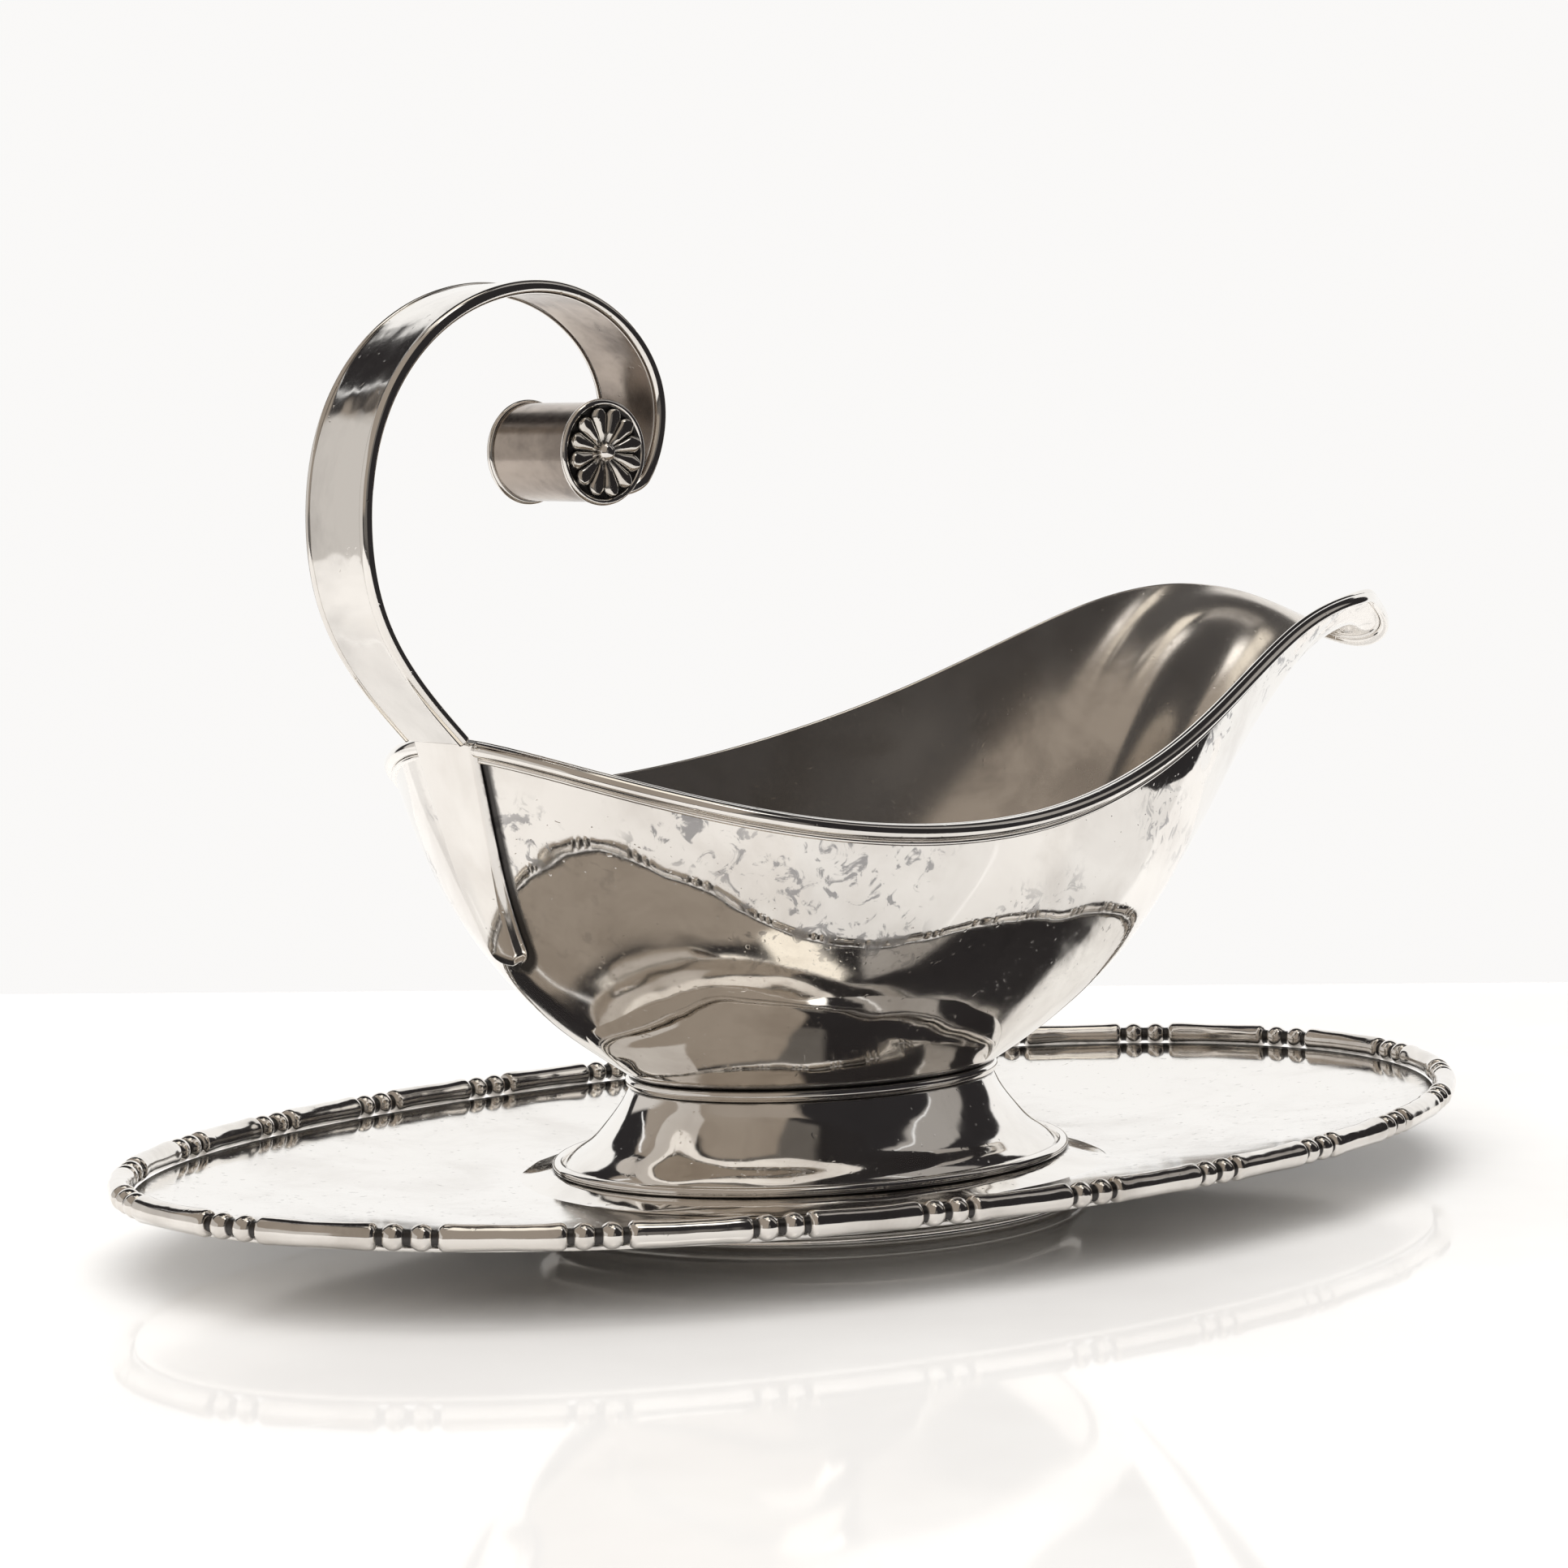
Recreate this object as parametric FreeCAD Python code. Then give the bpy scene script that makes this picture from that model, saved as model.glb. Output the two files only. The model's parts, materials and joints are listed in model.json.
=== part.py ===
"""Silver sauce boat soldered to its own oval stand.

Millimetres, +Z up, +X towards the pouring lip. The origin is the bottom centre of the whole
object's box, so the stand rests on z = 0. Every separate piece of silver is its own node.
"""
import FreeCAD, Part
import math
import os

V = FreeCAD.Vector

# ---------------------------------------------------------------- driving dimensions
# Stand
TRAY_CENTRE_X = -1.58          # the lip overhangs the stand, so the stand sits a little back
BORDER_A = 123.0               # border wire centre line, half length
BORDER_B = 71.6                # border wire centre line, half width
BORDER_Z = 11.6                # border wire centre line at the stand's waist
BORDER_BOW = 1.1               # how much higher the ends of the stand are than its waist
BAR_R = 1.95                   # bars of the pattern wire
BEAD_R = 1.9                   # beads of the pattern wire
GROOVE_R = 1.15                # necks between bars and beads
BEAD_GROUPS = 24               # pairs of beads round the stand
BEAD_PITCH = 3.9
GROOVE_WIDTH = 0.7
BAR_SWELL = 0.9                # reach of the rounding at each end of a bar
BORDER_PHASE = 0.020           # first bead pair, as a share of the way round from the lip end
BORDER_LENGTHS = 4             # lengths of pattern wire, butted end to end
TRAY_FLOOR_Z = 5.8             # top face of the flat middle of the stand
TRAY_EDGE_DROP = 1.4           # border wire centre line above the top face beside it
TRAY_T = 0.9
TRAY_FLAT = 0.45               # share of the half width that stays flat
TRAY_RISE = 1.6                # power of the rise from the flat to the border
TRAY_START = 0.3               # smallest ring the sheet is drawn with, filled flat inside
TRAY_LAP = 0.2                 # how far the sheet runs under the border wire

# Foot, seat and collet: ovals round one upright axis
FOOT_CENTRE_X = TRAY_CENTRE_X - 2.7
NECK_A, NECK_B, NECK_Z = 31.8, 23.6, 21.8
LIP_A, LIP_B = 43.9, 33.6      # base of the boat's foot
SEAT_Z = 7.4                   # top of the raised seat, where the foot stands
SEAT_A, SEAT_B = 49.1, 43.9    # where the seat meets the flat of the stand
SEAT_INSET = 2.4               # wall of the seat inside the foot's base
SEAT_SHOW = 0.3                # rim of the seat outside the foot's base
STAND_FOOT_A, STAND_FOOT_B = 45.6, 39.0
STAND_FOOT_FLARE = 2.0
STAND_FOOT_T = 1.2
STAND_WIRE_R = 0.9
STAND_WIRE_FLAT = 0.55         # half width of the wire's flat top and underside
STAND_WIRE_INSET = 0.6
SHEET = 1.1                    # thickness of the raised sheet
LIP_WIRE = 1.6                 # height of the half-round wire round the foot
LIP_WIRE_PROUD = 0.85
NECK_WIRE = 1.7
NECK_WIRE_PROUD = 0.75
NECK_WIRE_INSET = 1.6

# Bowl: stations from the tip of the lip, round one side, to the handle. Each row is
# rim x, rim y, rim z, slope at the neck, slope at the rim, fullness low, fullness high.
# Slopes are degrees above the horizontal, seen along the section from the neck to the rim.
BOWL_STATIONS = [
    (125.3, 0.0, 82.9, 18, -30, 0.50, 0.25),
    (121.8, 9.2, 85.9, 19, -21, 0.50, 0.26),
    (111.9, 15.8, 90.9, 21, -2, 0.45, 0.31),
    (100.4, 23.0, 92.8, 24, 27, 0.44, 0.35),
    (82.4, 27.1, 89.9, 27, 54, 0.43, 0.37),
    (46.4, 37.4, 76.0, 31, 76, 0.46, 0.37),
    (-2.0, 49.6, 64.8, 43, 77, 0.49, 0.40),
    (-41.6, 46.0, 65.6, 40, 75, 0.53, 0.54),
    (-66.0, 26.8, 72.1, 41, 72, 0.52, 0.50),
    (-76.0, 0.0, 77.0, 25, 73, 0.47, 0.41),
]
RIM_BAND = 2.3                 # half-round moulding: height
RIM_PROUD = 1.15               # and how far it stands out
RIM_BEAD_R = 0.45
RIM_BEAD_GAP = 0.05
BOWL_AROUND = 72               # sections taken round the bowl
BOWL_UP = 13                   # rings taken up the bowl

# Handle
STRAP_W = 14.7
STRAP_T = 1.5
EDGE_WIRE_R = 0.95
STRAP_PATH = [                 # middle of the strap, (x, z), from the rim up and over
    (-77.4, 76.9), (-84.6, 84.3), (-91.4, 94.4), (-94.2, 109.0), (-90.6, 125.0),
    (-82.1, 135.4), (-70.2, 141.2), (-58.4, 141.9), (-46.6, 136.7), (-40.2, 127.0),
    (-40.7, 118.7), (-44.6, 112.6), (-50.55, 110.13),
]
TUBE_X, TUBE_Z = -52.7, 118.15
TUBE_R = 7.3
TUBE_HALF = 8.2                # half length of the plain tube, without its caps
TUBE_WALL = 0.7
VENT_R = 0.45
CAP_T = 0.9
COLLAR_R = 0.55
PETALS = 12
PETAL_TURN = 18.0              # degrees from upright to the first petal
PETAL_ROOT_R, PETAL_END_R = 0.30, 1.38
PETAL_FROM, PETAL_TO = 1.0, 5.25       # reach of a petal from the middle of the cap
PETAL_LIFT = 0.95
ROSETTE_MARGIN = 0.35          # plain edge of the cap outside the petals
BOSS_R = 1.45
BOSS_LIFT = 0.2                # centre of the dome above the cap
VENT_WAY = V(-0.42, 0, -0.9075)
TONGUE_TOP_W = 13.6
TONGUE_END_W = 7.0
TONGUE_T, TONGUE_END_T = 1.3, 2.1      # thickness at the rim and at the rounded end
TONGUE_CLEAR = 0.2             # gap between the tongue and the ends of the rim mouldings
TONGUE_FROM, TONGUE_TO = 0.985, 0.47   # reach of the tongue, as shares of the bowl's height
TONGUE_ROUND = 0.90            # share of the tongue's length where its end starts to round
TONGUE_BLUNT = 0.12            # keeps the rounded end from closing to a point
TONGUE_BEVEL = (0.0, 0.55, 1.0, 1.0, 1.0, 1.0, 1.0, 0.55, 0.0)   # bevelled edges, across
TONGUE_EDGE = 0.35             # height of the tongue's face at the foot of its bevel

SEW = 0.0005                   # sewing tolerance of faces that share an edge
GAP = 0.03                     # solder gap between curved faces of one body
CENTRE_SHIFT = 0.31            # sets the origin midway between the lip and the stand's far end


# ---------------------------------------------------------------- curves
class ClosedSpline:
    """Smooth closed curve through rows of numbers, by periodic cubic segments."""

    def __init__(self, rows):
        self.rows = rows
        count = len(rows)
        self.steps = []
        for i in range(count):
            here, there = rows[i][:3], rows[(i + 1) % count][:3]
            self.steps.append(math.sqrt(math.dist(here, there)))
        self.total = sum(self.steps)
        self.bends = [self._solve([row[k] for row in rows]) for k in range(len(rows[0]))]

    def _solve(self, values):
        """Second derivatives at the rows, by Gaussian elimination."""
        n = len(values)
        matrix = [[0.0] * (n + 1) for _ in range(n)]
        for i in range(n):
            before, after = self.steps[i - 1], self.steps[i]
            matrix[i][i - 1] += before
            matrix[i][i] += 2 * (before + after)
            matrix[i][(i + 1) % n] += after
            rise = (values[(i + 1) % n] - values[i]) / after
            fall = (values[i] - values[i - 1]) / before
            matrix[i][n] = 6 * (rise - fall)
        for i in range(n):
            pivot = matrix[i][i]
            for j in range(n):
                if j != i and matrix[j][i]:
                    factor = matrix[j][i] / pivot
                    matrix[j] = [a - factor * b for a, b in zip(matrix[j], matrix[i])]
        return [matrix[i][n] / matrix[i][i] for i in range(n)]

    def at(self, share):
        """All values at a share (0 to 1) of the way round."""
        along = (share % 1.0) * self.total
        i = 0
        while i < len(self.steps) - 1 and along > self.steps[i]:
            along -= self.steps[i]
            i += 1
        step, j = self.steps[i], (i + 1) % len(self.rows)
        b = along / step
        a = 1 - b
        out = []
        for k, bend in enumerate(self.bends):
            curve = ((a ** 3 - a) * bend[i] + (b ** 3 - b) * bend[j]) * step * step / 6
            out.append(a * self.rows[i][k] + b * self.rows[j][k] + curve)
        return out


def mirrored(stations):
    """The stations of one side, then those of the other side back to the start."""
    other = [(row[0], -row[1]) + tuple(row[2:]) for row in stations[1:-1]]
    return stations + other[::-1]


BOWL_SPLINE = ClosedSpline(mirrored(BOWL_STATIONS))


def bowl_point(share, height):
    """Outside of the bowl: share of the way round from the lip, share of the way up."""
    x, y, z, slope0, slope1, full0, full1 = BOWL_SPLINE.at(share)
    turn = math.atan2(y / NECK_B, (x - FOOT_CENTRE_X) / NECK_A)
    neck = V(FOOT_CENTRE_X + NECK_A * math.cos(turn), NECK_B * math.sin(turn), NECK_Z)
    rim = V(x, y, z)
    span = rim - neck
    level = V(span.x, span.y, 0)
    level.normalize()
    low, high = math.radians(slope0), math.radians(slope1)
    reach = span.Length
    first = neck + (level * math.cos(low) + V(0, 0, math.sin(low))) * (full0 * reach)
    second = rim - (level * math.cos(high) + V(0, 0, math.sin(high))) * (full1 * reach)
    k = 1 - height
    return (neck * k ** 3 + first * (3 * k * k * height)
            + second * (3 * k * height * height) + rim * height ** 3)


def bowl_frame(share, height):
    """Point on the outside of the bowl, its outward normal and the way up the wall."""
    step = 0.002
    here = bowl_point(share, height)
    round_way = bowl_point(share + step, height) - bowl_point(share - step, height)
    top, low = min(1.0, height + step), max(0.0, height - step)
    up_way = bowl_point(share, top) - bowl_point(share, low)
    up_way.normalize()
    out = round_way.cross(up_way)
    out.normalize()
    return here, out, up_way


def oval(a, b, z, count=48, centre_x=FOOT_CENTRE_X):
    """Points of an ellipse at one height."""
    turns = [2 * math.pi * i / count for i in range(count)]
    return [V(centre_x + a * math.cos(t), b * math.sin(t), z) for t in turns]


# ---------------------------------------------------------------- solids from rings and rows
def spacing(rows):
    """Shares of the way along for each row, by the mean distance between rows."""
    reach = [0.0]
    for before, after in zip(rows, rows[1:]):
        gaps = [(q - p).Length for p, q in zip(before, after)]
        reach.append(reach[-1] + sum(gaps) / len(gaps))
    return [r / reach[-1] for r in reach]


def surface(rows, closed, along=None):
    """Smooth surface through rows of points, as a curve through each row's poles.

    closed joins each row's end to its start. Rows of one length give matching knots, so
    that a straight strip fits between the edges of two surfaces.
    """
    along = along or spacing(rows)
    columns = len(rows[0]) + (1 if closed else 0)
    across = [i / (columns - 1) for i in range(columns)]
    pole_rows = []
    for row in rows:
        curve = Part.BSplineCurve()
        if closed:
            seam = (row[1] - row[-1]) * ((columns - 1) / 2)
            curve.interpolate(Points=row + [row[0]], Parameters=across, InitialTangent=seam,
                              FinalTangent=seam)
        else:
            curve.interpolate(Points=row, Parameters=across)
        pole_rows.append(curve.getPoles())
    grid = []
    for column in zip(*pole_rows):
        rib = Part.BSplineCurve()
        rib.interpolate(Points=list(column), Parameters=along)
        grid.append(rib.getPoles())
    spline = Part.BSplineSurface()
    spline.buildFromPolesMultsKnots([list(poles) for poles in zip(*grid)],
                                    rib.getMultiplicities(), curve.getMultiplicities(),
                                    rib.getKnots(), curve.getKnots(), False, False,
                                    rib.Degree, curve.Degree)
    return spline


def side(spline, which):
    """Edge along the first (0) or last (1) row of a surface."""
    u0, u1, v0, v1 = spline.bounds()
    return spline.uIso(u0 if which == 0 else u1).toShape()


def end(spline, which):
    """Edge across the first (0) or last (1) column of a surface."""
    u0, u1, v0, v1 = spline.bounds()
    return spline.vIso(v0 if which == 0 else v1).toShape()


def strip(first, last):
    """Straight-ruled face between two edges taken from matching rows of points."""
    start, stop = first.Curve, last.Curve
    poles = [start.getPoles(), stop.getPoles()]
    ruled = Part.BSplineSurface()
    ruled.buildFromPolesMultsKnots(poles, (2, 2), start.getMultiplicities(), (0.0, 1.0),
                                   start.getKnots(), False, False, 1, start.Degree)
    return ruled.toShape()


def sewn(faces):
    """One solid from faces that share their edges, its faces turned outwards."""
    joined = Part.makeCompound(faces)
    joined.sewShape(SEW)
    shell = joined.Shells[0]
    solid = Part.Solid(shell)
    if solid.Volume < 0:
        shell.reverse()
        solid = Part.Solid(shell)
    return solid


def dish_solid(outer, inner):
    """Vessel wall: rings from its flat floor to its edge, outside and inside."""
    outside, inside = surface(outer, True), surface(inner, True)
    faces = [outside.toShape(), inside.toShape()]
    faces += [Part.Face(Part.Wire(side(wall, 0))) for wall in (outside, inside)]
    faces.append(strip(side(outside, 1), side(inside, 1)))
    return sewn(faces)


def sleeve_solid(outer, inner):
    """Open wall: rings from one end to the other, outside and inside."""
    outside, inside = surface(outer, True), surface(inner, True)
    faces = [outside.toShape(), inside.toShape()]
    for which in (0, 1):
        faces.append(strip(side(outside, which), side(inside, which)))
    return sewn(faces)


def band_solid(sections, closed):
    """Moulding: each section is a bow from one edge to the other; its back is straight."""
    rows = [list(row) for row in zip(*sections)]
    front = surface(rows, closed)
    faces = [front.toShape(), strip(side(front, 0), side(front, 1))]
    if not closed:
        for which, section in ((0, sections[0]), (1, sections[-1])):
            chord = Part.makeLine(section[0], section[-1])
            faces.append(Part.Face(Part.Wire([end(front, which), chord])))
    return sewn(faces)


def slab_solid(top, bottom):
    """Plate between two open grids of points with matching edges."""
    along = spacing(top)
    upper, lower = surface(top, False, along), surface(bottom, False, along)
    faces = [upper.toShape(), lower.toShape()]
    for which in (0, 1):
        faces.append(strip(side(upper, which), side(lower, which)))
        faces.append(strip(end(upper, which), end(lower, which)))
    return sewn(faces)


def oval_bead(a, b, z, radius_out, half_height):
    """Half-round wire round an oval, its flat back on the oval."""
    steps = [math.pi * i / 6 - math.pi / 2 for i in range(7)]
    rings = []
    for t in steps:
        grow = radius_out * math.cos(t)
        rings.append(oval(a + grow, b + grow, z + half_height * math.sin(t)))
    return band_solid([list(section) for section in zip(*rings)], True)


# ---------------------------------------------------------------- bowl and foot
def bowl_shell():
    shares = [i / BOWL_AROUND for i in range(BOWL_AROUND)]
    outer, inner = [], []
    for j in range(BOWL_UP):
        height = j / (BOWL_UP - 1)
        frames = [bowl_frame(share - 0.5, height) for share in shares]
        outer.append([here for here, out, up in frames])
        if j == 0:
            floor = [(here - out * SHEET) for here, out, up in frames]
            inner.append([V(p.x, p.y, NECK_Z + SHEET) for p in floor])
        else:
            inner.append([here - out * SHEET for here, out, up in frames])
    return dish_solid(outer, inner)


def rim_shares(count):
    """Shares of the way round, from one side of the handle's tongue to the other."""
    clear = tongue_share(1.0, TONGUE_TOP_W / 2 + TONGUE_CLEAR)
    first, last = clear - 1.0, 1.0 - clear
    return [first + (last - first) * i / (count - 1) for i in range(count)]


def rim_half_round():
    sections = []
    for share in rim_shares(97):
        edge, out, up = bowl_frame(share, 1.0)
        start = edge + out * GAP
        section = []
        for i in range(7):
            t = math.pi * i / 6
            down = RIM_BAND / 2 * (1 - math.cos(t))
            section.append(start - up * down + out * (RIM_PROUD * math.sin(t)))
        sections.append(section)
    return band_solid(sections, False)


def rim_bead_wire():
    sections = []
    for share in rim_shares(97):
        edge, out, up = bowl_frame(share, 1.0)
        start = edge + out * GAP - up * (RIM_BAND + RIM_BEAD_GAP)
        section = []
        for i in range(5):
            t = math.pi * i / 4
            down = RIM_BEAD_R * (1 - math.cos(t))
            section.append(start - up * down + out * (RIM_BEAD_R * math.sin(t)))
        sections.append(section)
    return band_solid(sections, False)


def foot_outline():
    """Outer profile of the boat's foot from neck to base: share outwards, share down."""
    return [(0.0, 0.0), (0.135, 0.22), (0.36, 0.48), (0.58, 0.68), (0.79, 0.81), (1.0, 1.0)]


def foot_collet():
    top, base = NECK_Z - NECK_WIRE, SEAT_Z
    outer, inner = [], []
    for go, down in foot_outline():
        a, b = NECK_A + (LIP_A - NECK_A) * go, NECK_B + (LIP_B - NECK_B) * go
        z = top + (base - top) * down
        outer.append(oval(a, b, z))
        inner.append(oval(a - SHEET, b - SHEET, z))
    return sleeve_solid(outer, inner)


def neck_ring():
    """Half-round wire with its flat inside, between the bowl's floor and the foot."""
    rings = []
    for i in range(7):
        t = math.pi * i / 6 - math.pi / 2
        grow = NECK_WIRE_PROUD * math.cos(t)
        z = NECK_Z - NECK_WIRE / 2 + NECK_WIRE / 2 * math.sin(t)
        rings.append(oval(NECK_A + grow, NECK_B + grow, z))
    a, b = NECK_A - NECK_WIRE_INSET, NECK_B - NECK_WIRE_INSET
    wall = [oval(a, b, NECK_Z - NECK_WIRE), oval(a, b, NECK_Z)]
    return sleeve_solid(rings, wall)


# ---------------------------------------------------------------- handle
def strap_curve():
    """Middle line of the strap as one smooth curve."""
    curve = Part.BSplineCurve()
    curve.interpolate([V(x, 0, z) for x, z in STRAP_PATH])
    return curve


def strap_frames(count):
    """Points along the middle line with the direction out of the scroll."""
    curve = strap_curve()
    first, last = curve.FirstParameter, curve.LastParameter
    frames = []
    for i in range(count):
        t = first + (last - first) * i / (count - 1)
        ahead = V(*curve.tangent(t)[0])
        frames.append((curve.value(t), V(-ahead.z, 0, ahead.x)))
    return frames


def handle_strap():
    """Flat band: its side view, drawn once and given the strap's width."""
    half = STRAP_W / 2 - EDGE_WIRE_R - GAP
    frames = strap_frames(25)
    edges = []
    for sign in (1, -1):
        curve = Part.BSplineCurve()
        curve.interpolate([here + out * (sign * STRAP_T / 2) for here, out in frames])
        edges.append(curve.toShape())
    for here, out in (frames[0], frames[-1]):
        edges.append(Part.makeLine(here + out * (STRAP_T / 2), here - out * (STRAP_T / 2)))
    profile = Part.Face(Part.Wire(Part.__sortEdges__(edges)))
    profile.translate(V(0, -half, 0))
    return profile.extrude(V(0, 2 * half, 0))


def handle_edge_wire(sign):
    """Half-round wire swept along one edge of the strap, flat side inwards."""
    here, out = strap_frames(2)[0]
    root = here + V(0, sign * (STRAP_W / 2 - EDGE_WIRE_R), 0)
    top, low = root + out * EDGE_WIRE_R, root - out * EDGE_WIRE_R
    bow = Part.Arc(top, root + V(0, sign * EDGE_WIRE_R, 0), low).toShape()
    section = Part.Wire([bow, Part.makeLine(low, top)])
    path = Part.Wire(strap_curve().toShape())
    path.translate(V(0, root.y, 0))
    return path.makePipeShell([section], True, True)


def tongue_share(height, half_width):
    """Share of the way round at which the bowl's back is half_width from the mid-plane."""
    low, high = 0.3, 0.5
    for _ in range(40):
        middle = (low + high) / 2
        if bowl_point(middle, height).y > half_width:
            low = middle
        else:
            high = middle
    return (low + high) / 2


def tongue_half_width(down):
    """Half width of the tongue; it tapers, and its end is rounded."""
    taper = TONGUE_TOP_W / 2 + (TONGUE_END_W - TONGUE_TOP_W) / 2 * down
    if down <= TONGUE_ROUND:
        return taper
    past = (down - TONGUE_ROUND) / (1 - TONGUE_ROUND)
    return taper * math.sqrt(max(TONGUE_BLUNT, 1 - past * past))


def tongue_lift(down, bevel):
    """Height of the tongue's face off the bowl: full in the middle, low at its edges."""
    full = TONGUE_T + (TONGUE_END_T - TONGUE_T) * down * down
    if down > TONGUE_ROUND:
        past = (down - TONGUE_ROUND) / (1 - TONGUE_ROUND)
        bevel *= math.sqrt(1 - past * past)
    return TONGUE_EDGE + (full - TONGUE_EDGE) * bevel


def handle_tongue():
    """Plate on the bowl's back, bevelled along its edges and domed at its rounded end."""
    rows, across = 25, len(TONGUE_BEVEL)
    outer, inner = [], []
    for j in range(rows):
        down = j / (rows - 1)
        height = TONGUE_FROM + (TONGUE_TO - TONGUE_FROM) * down
        reach = 0.5 - tongue_share(height, tongue_half_width(down))
        top, base = [], []
        for i in range(across):
            share = 0.5 - reach + 2 * reach * i / (across - 1)
            here, out, up = bowl_frame(share, height)
            top.append(here + out * (tongue_lift(down, TONGUE_BEVEL[i]) + GAP))
            base.append(here + out * GAP)
        outer.append(top)
        inner.append(base)
    return slab_solid(outer, inner)


# ---------------------------------------------------------------- scroll tube and caps
def tube_point(y):
    return V(TUBE_X, y, TUBE_Z)


def scroll_tube():
    start = tube_point(-TUBE_HALF)
    body = Part.makeCylinder(TUBE_R, 2 * TUBE_HALF, start, V(0, 1, 0))
    bore = Part.makeCylinder(TUBE_R - TUBE_WALL, 2 * TUBE_HALF, start, V(0, 1, 0))
    vent = Part.makeCylinder(VENT_R, 2 * TUBE_R, tube_point(0.0), VENT_WAY)
    return body.cut(bore).cut(vent)


def scroll_cap(sign):
    start = tube_point(sign * TUBE_HALF)
    return Part.makeCylinder(TUBE_R, CAP_T, start, V(0, sign, 0))


def cap_collar(sign):
    """Thin ring round the cap's edge."""
    middle = tube_point(sign * (TUBE_HALF + CAP_T / 2))
    ring = Part.makeTorus(TUBE_R + GAP, COLLAR_R, middle, V(0, 1, 0))
    start = middle - V(0, CAP_T, 0)
    inside = Part.makeCylinder(TUBE_R + GAP, 2 * CAP_T, start, V(0, 1, 0))
    return ring.cut(inside)


def cap_rosette(sign):
    """Petals standing on the cap, fused where their feet meet."""
    face_y = sign * (TUBE_HALF + CAP_T)
    centre = tube_point(face_y)
    petals = []
    for i in range(PETALS):
        turn = math.radians(PETAL_TURN + 360.0 * i / PETALS)
        way = V(math.sin(turn), 0, math.cos(turn))
        petal = Part.makeCone(PETAL_ROOT_R, PETAL_END_R, PETAL_TO - PETAL_FROM,
                              centre + way * PETAL_FROM, way)
        petals.append(petal.fuse(Part.makeSphere(PETAL_END_R, centre + way * PETAL_TO)))
    flower = petals[0].multiFuse(petals[1:])
    block = Part.makeCylinder(TUBE_R - ROSETTE_MARGIN, PETAL_LIFT, centre, V(0, sign, 0))
    start = centre - V(0, sign, 0)
    hub = Part.makeCylinder(BOSS_R + GAP, 3 * PETAL_LIFT, start, V(0, sign, 0))
    return flower.common(block).cut(hub).removeSplitter()


def rosette_boss(sign):
    centre = tube_point(sign * (TUBE_HALF + CAP_T))
    post = Part.makeCylinder(BOSS_R, BOSS_LIFT, centre, V(0, sign, 0))
    dome = Part.makeSphere(BOSS_R, centre + V(0, sign * BOSS_LIFT, 0))
    keep = Part.makeCylinder(2 * BOSS_R, 2 * BOSS_R, centre, V(0, sign, 0))
    return post.fuse(dome.common(keep)).removeSplitter()


# ---------------------------------------------------------------- stand
def tray_ring(share, lift):
    """Ring of the stand's sheet: share of the way out to the border, lift above the top."""
    a, b = BORDER_A - BAR_R + TRAY_LAP, BORDER_B - BAR_R + TRAY_LAP
    rise = max(0.0, share - TRAY_FLAT) / (1 - TRAY_FLAT)
    edge_z = BORDER_Z - TRAY_EDGE_DROP
    count = 72
    ring = []
    for i in range(count):
        t = 2 * math.pi * i / count
        z = TRAY_FLOOR_Z + (edge_z - TRAY_FLOOR_Z) * rise ** TRAY_RISE
        z += BORDER_BOW * math.cos(t) ** 2 * rise * rise + lift
        ring.append(V(TRAY_CENTRE_X + a * share * math.cos(t), b * share * math.sin(t), z))
    return ring


def tray_plate():
    rings = 8
    step = (1 - TRAY_START) / (rings - 1)
    shares = [TRAY_START + step * i for i in range(rings)]
    outer = [tray_ring(share, -TRAY_T) for share in shares]
    inner = [tray_ring(share, 0.0) for share in shares]
    return dish_solid(outer, inner)


def tray_seat_collar():
    """Flared ring raised under the boat's foot, hollow on its inside."""
    base, top = TRAY_FLOOR_Z + GAP, SEAT_Z - GAP
    outer, inner = [], []
    for s in (0.0, 0.2, 0.4, 0.6, 0.8, 1.0):
        a = SEAT_A + (LIP_A + SEAT_SHOW - SEAT_A) * s
        b = SEAT_B + (LIP_B + SEAT_SHOW - SEAT_B) * s
        hollow_rise = (s + s * s) / 2
        outer.append(oval(a, b, base + (top - base) * hollow_rise))
        inner.append(oval(LIP_A - SEAT_INSET, LIP_B - SEAT_INSET, base + (top - base) * s))
    return sleeve_solid(outer, inner)


def foot_lip_wire():
    middle = SEAT_Z + LIP_WIRE / 2 + GAP
    return oval_bead(LIP_A + GAP, LIP_B + GAP, middle, LIP_WIRE_PROUD, LIP_WIRE / 2)


def tray_foot_ring():
    top, base = TRAY_FLOOR_Z - TRAY_T - GAP, 2 * STAND_WIRE_R
    outer, inner = [], []
    for s in (0.0, 0.35, 0.7, 1.0):
        grow = STAND_FOOT_FLARE * ((1 - s) ** 1.6 - 1)
        z = base + (top - base) * s
        a, b = STAND_FOOT_A + grow, STAND_FOOT_B + grow
        outer.append(oval(a, b, z))
        inner.append(oval(a - STAND_FOOT_T, b - STAND_FOOT_T, z))
    return sleeve_solid(outer, inner)


def flat_ring(outer, inner):
    """Level face between two closed edges."""
    return Part.Face([Part.Wire(outer), Part.Wire(inner)])


def tray_foot_wire():
    """Wire under the collet; its flat underside is what the stand rests on."""
    a, b = STAND_FOOT_A - STAND_WIRE_INSET, STAND_FOOT_B - STAND_WIRE_INSET
    outer, inner = [], []
    for i in range(7):
        t = math.pi * i / 6 - math.pi / 2
        grow = STAND_WIRE_FLAT + (STAND_WIRE_R - STAND_WIRE_FLAT) * math.cos(t)
        z = STAND_WIRE_R * (1 + math.sin(t))
        outer.append(oval(a + grow, b + grow, z))
        inner.append(oval(a - grow, b - grow, z))
    outside, inside = surface(outer, True), surface(inner, True)
    faces = [outside.toShape(), inside.toShape()]
    for which in (0, 1):
        faces.append(flat_ring(side(outside, which), side(inside, which)))
    return sewn(faces)


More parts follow.
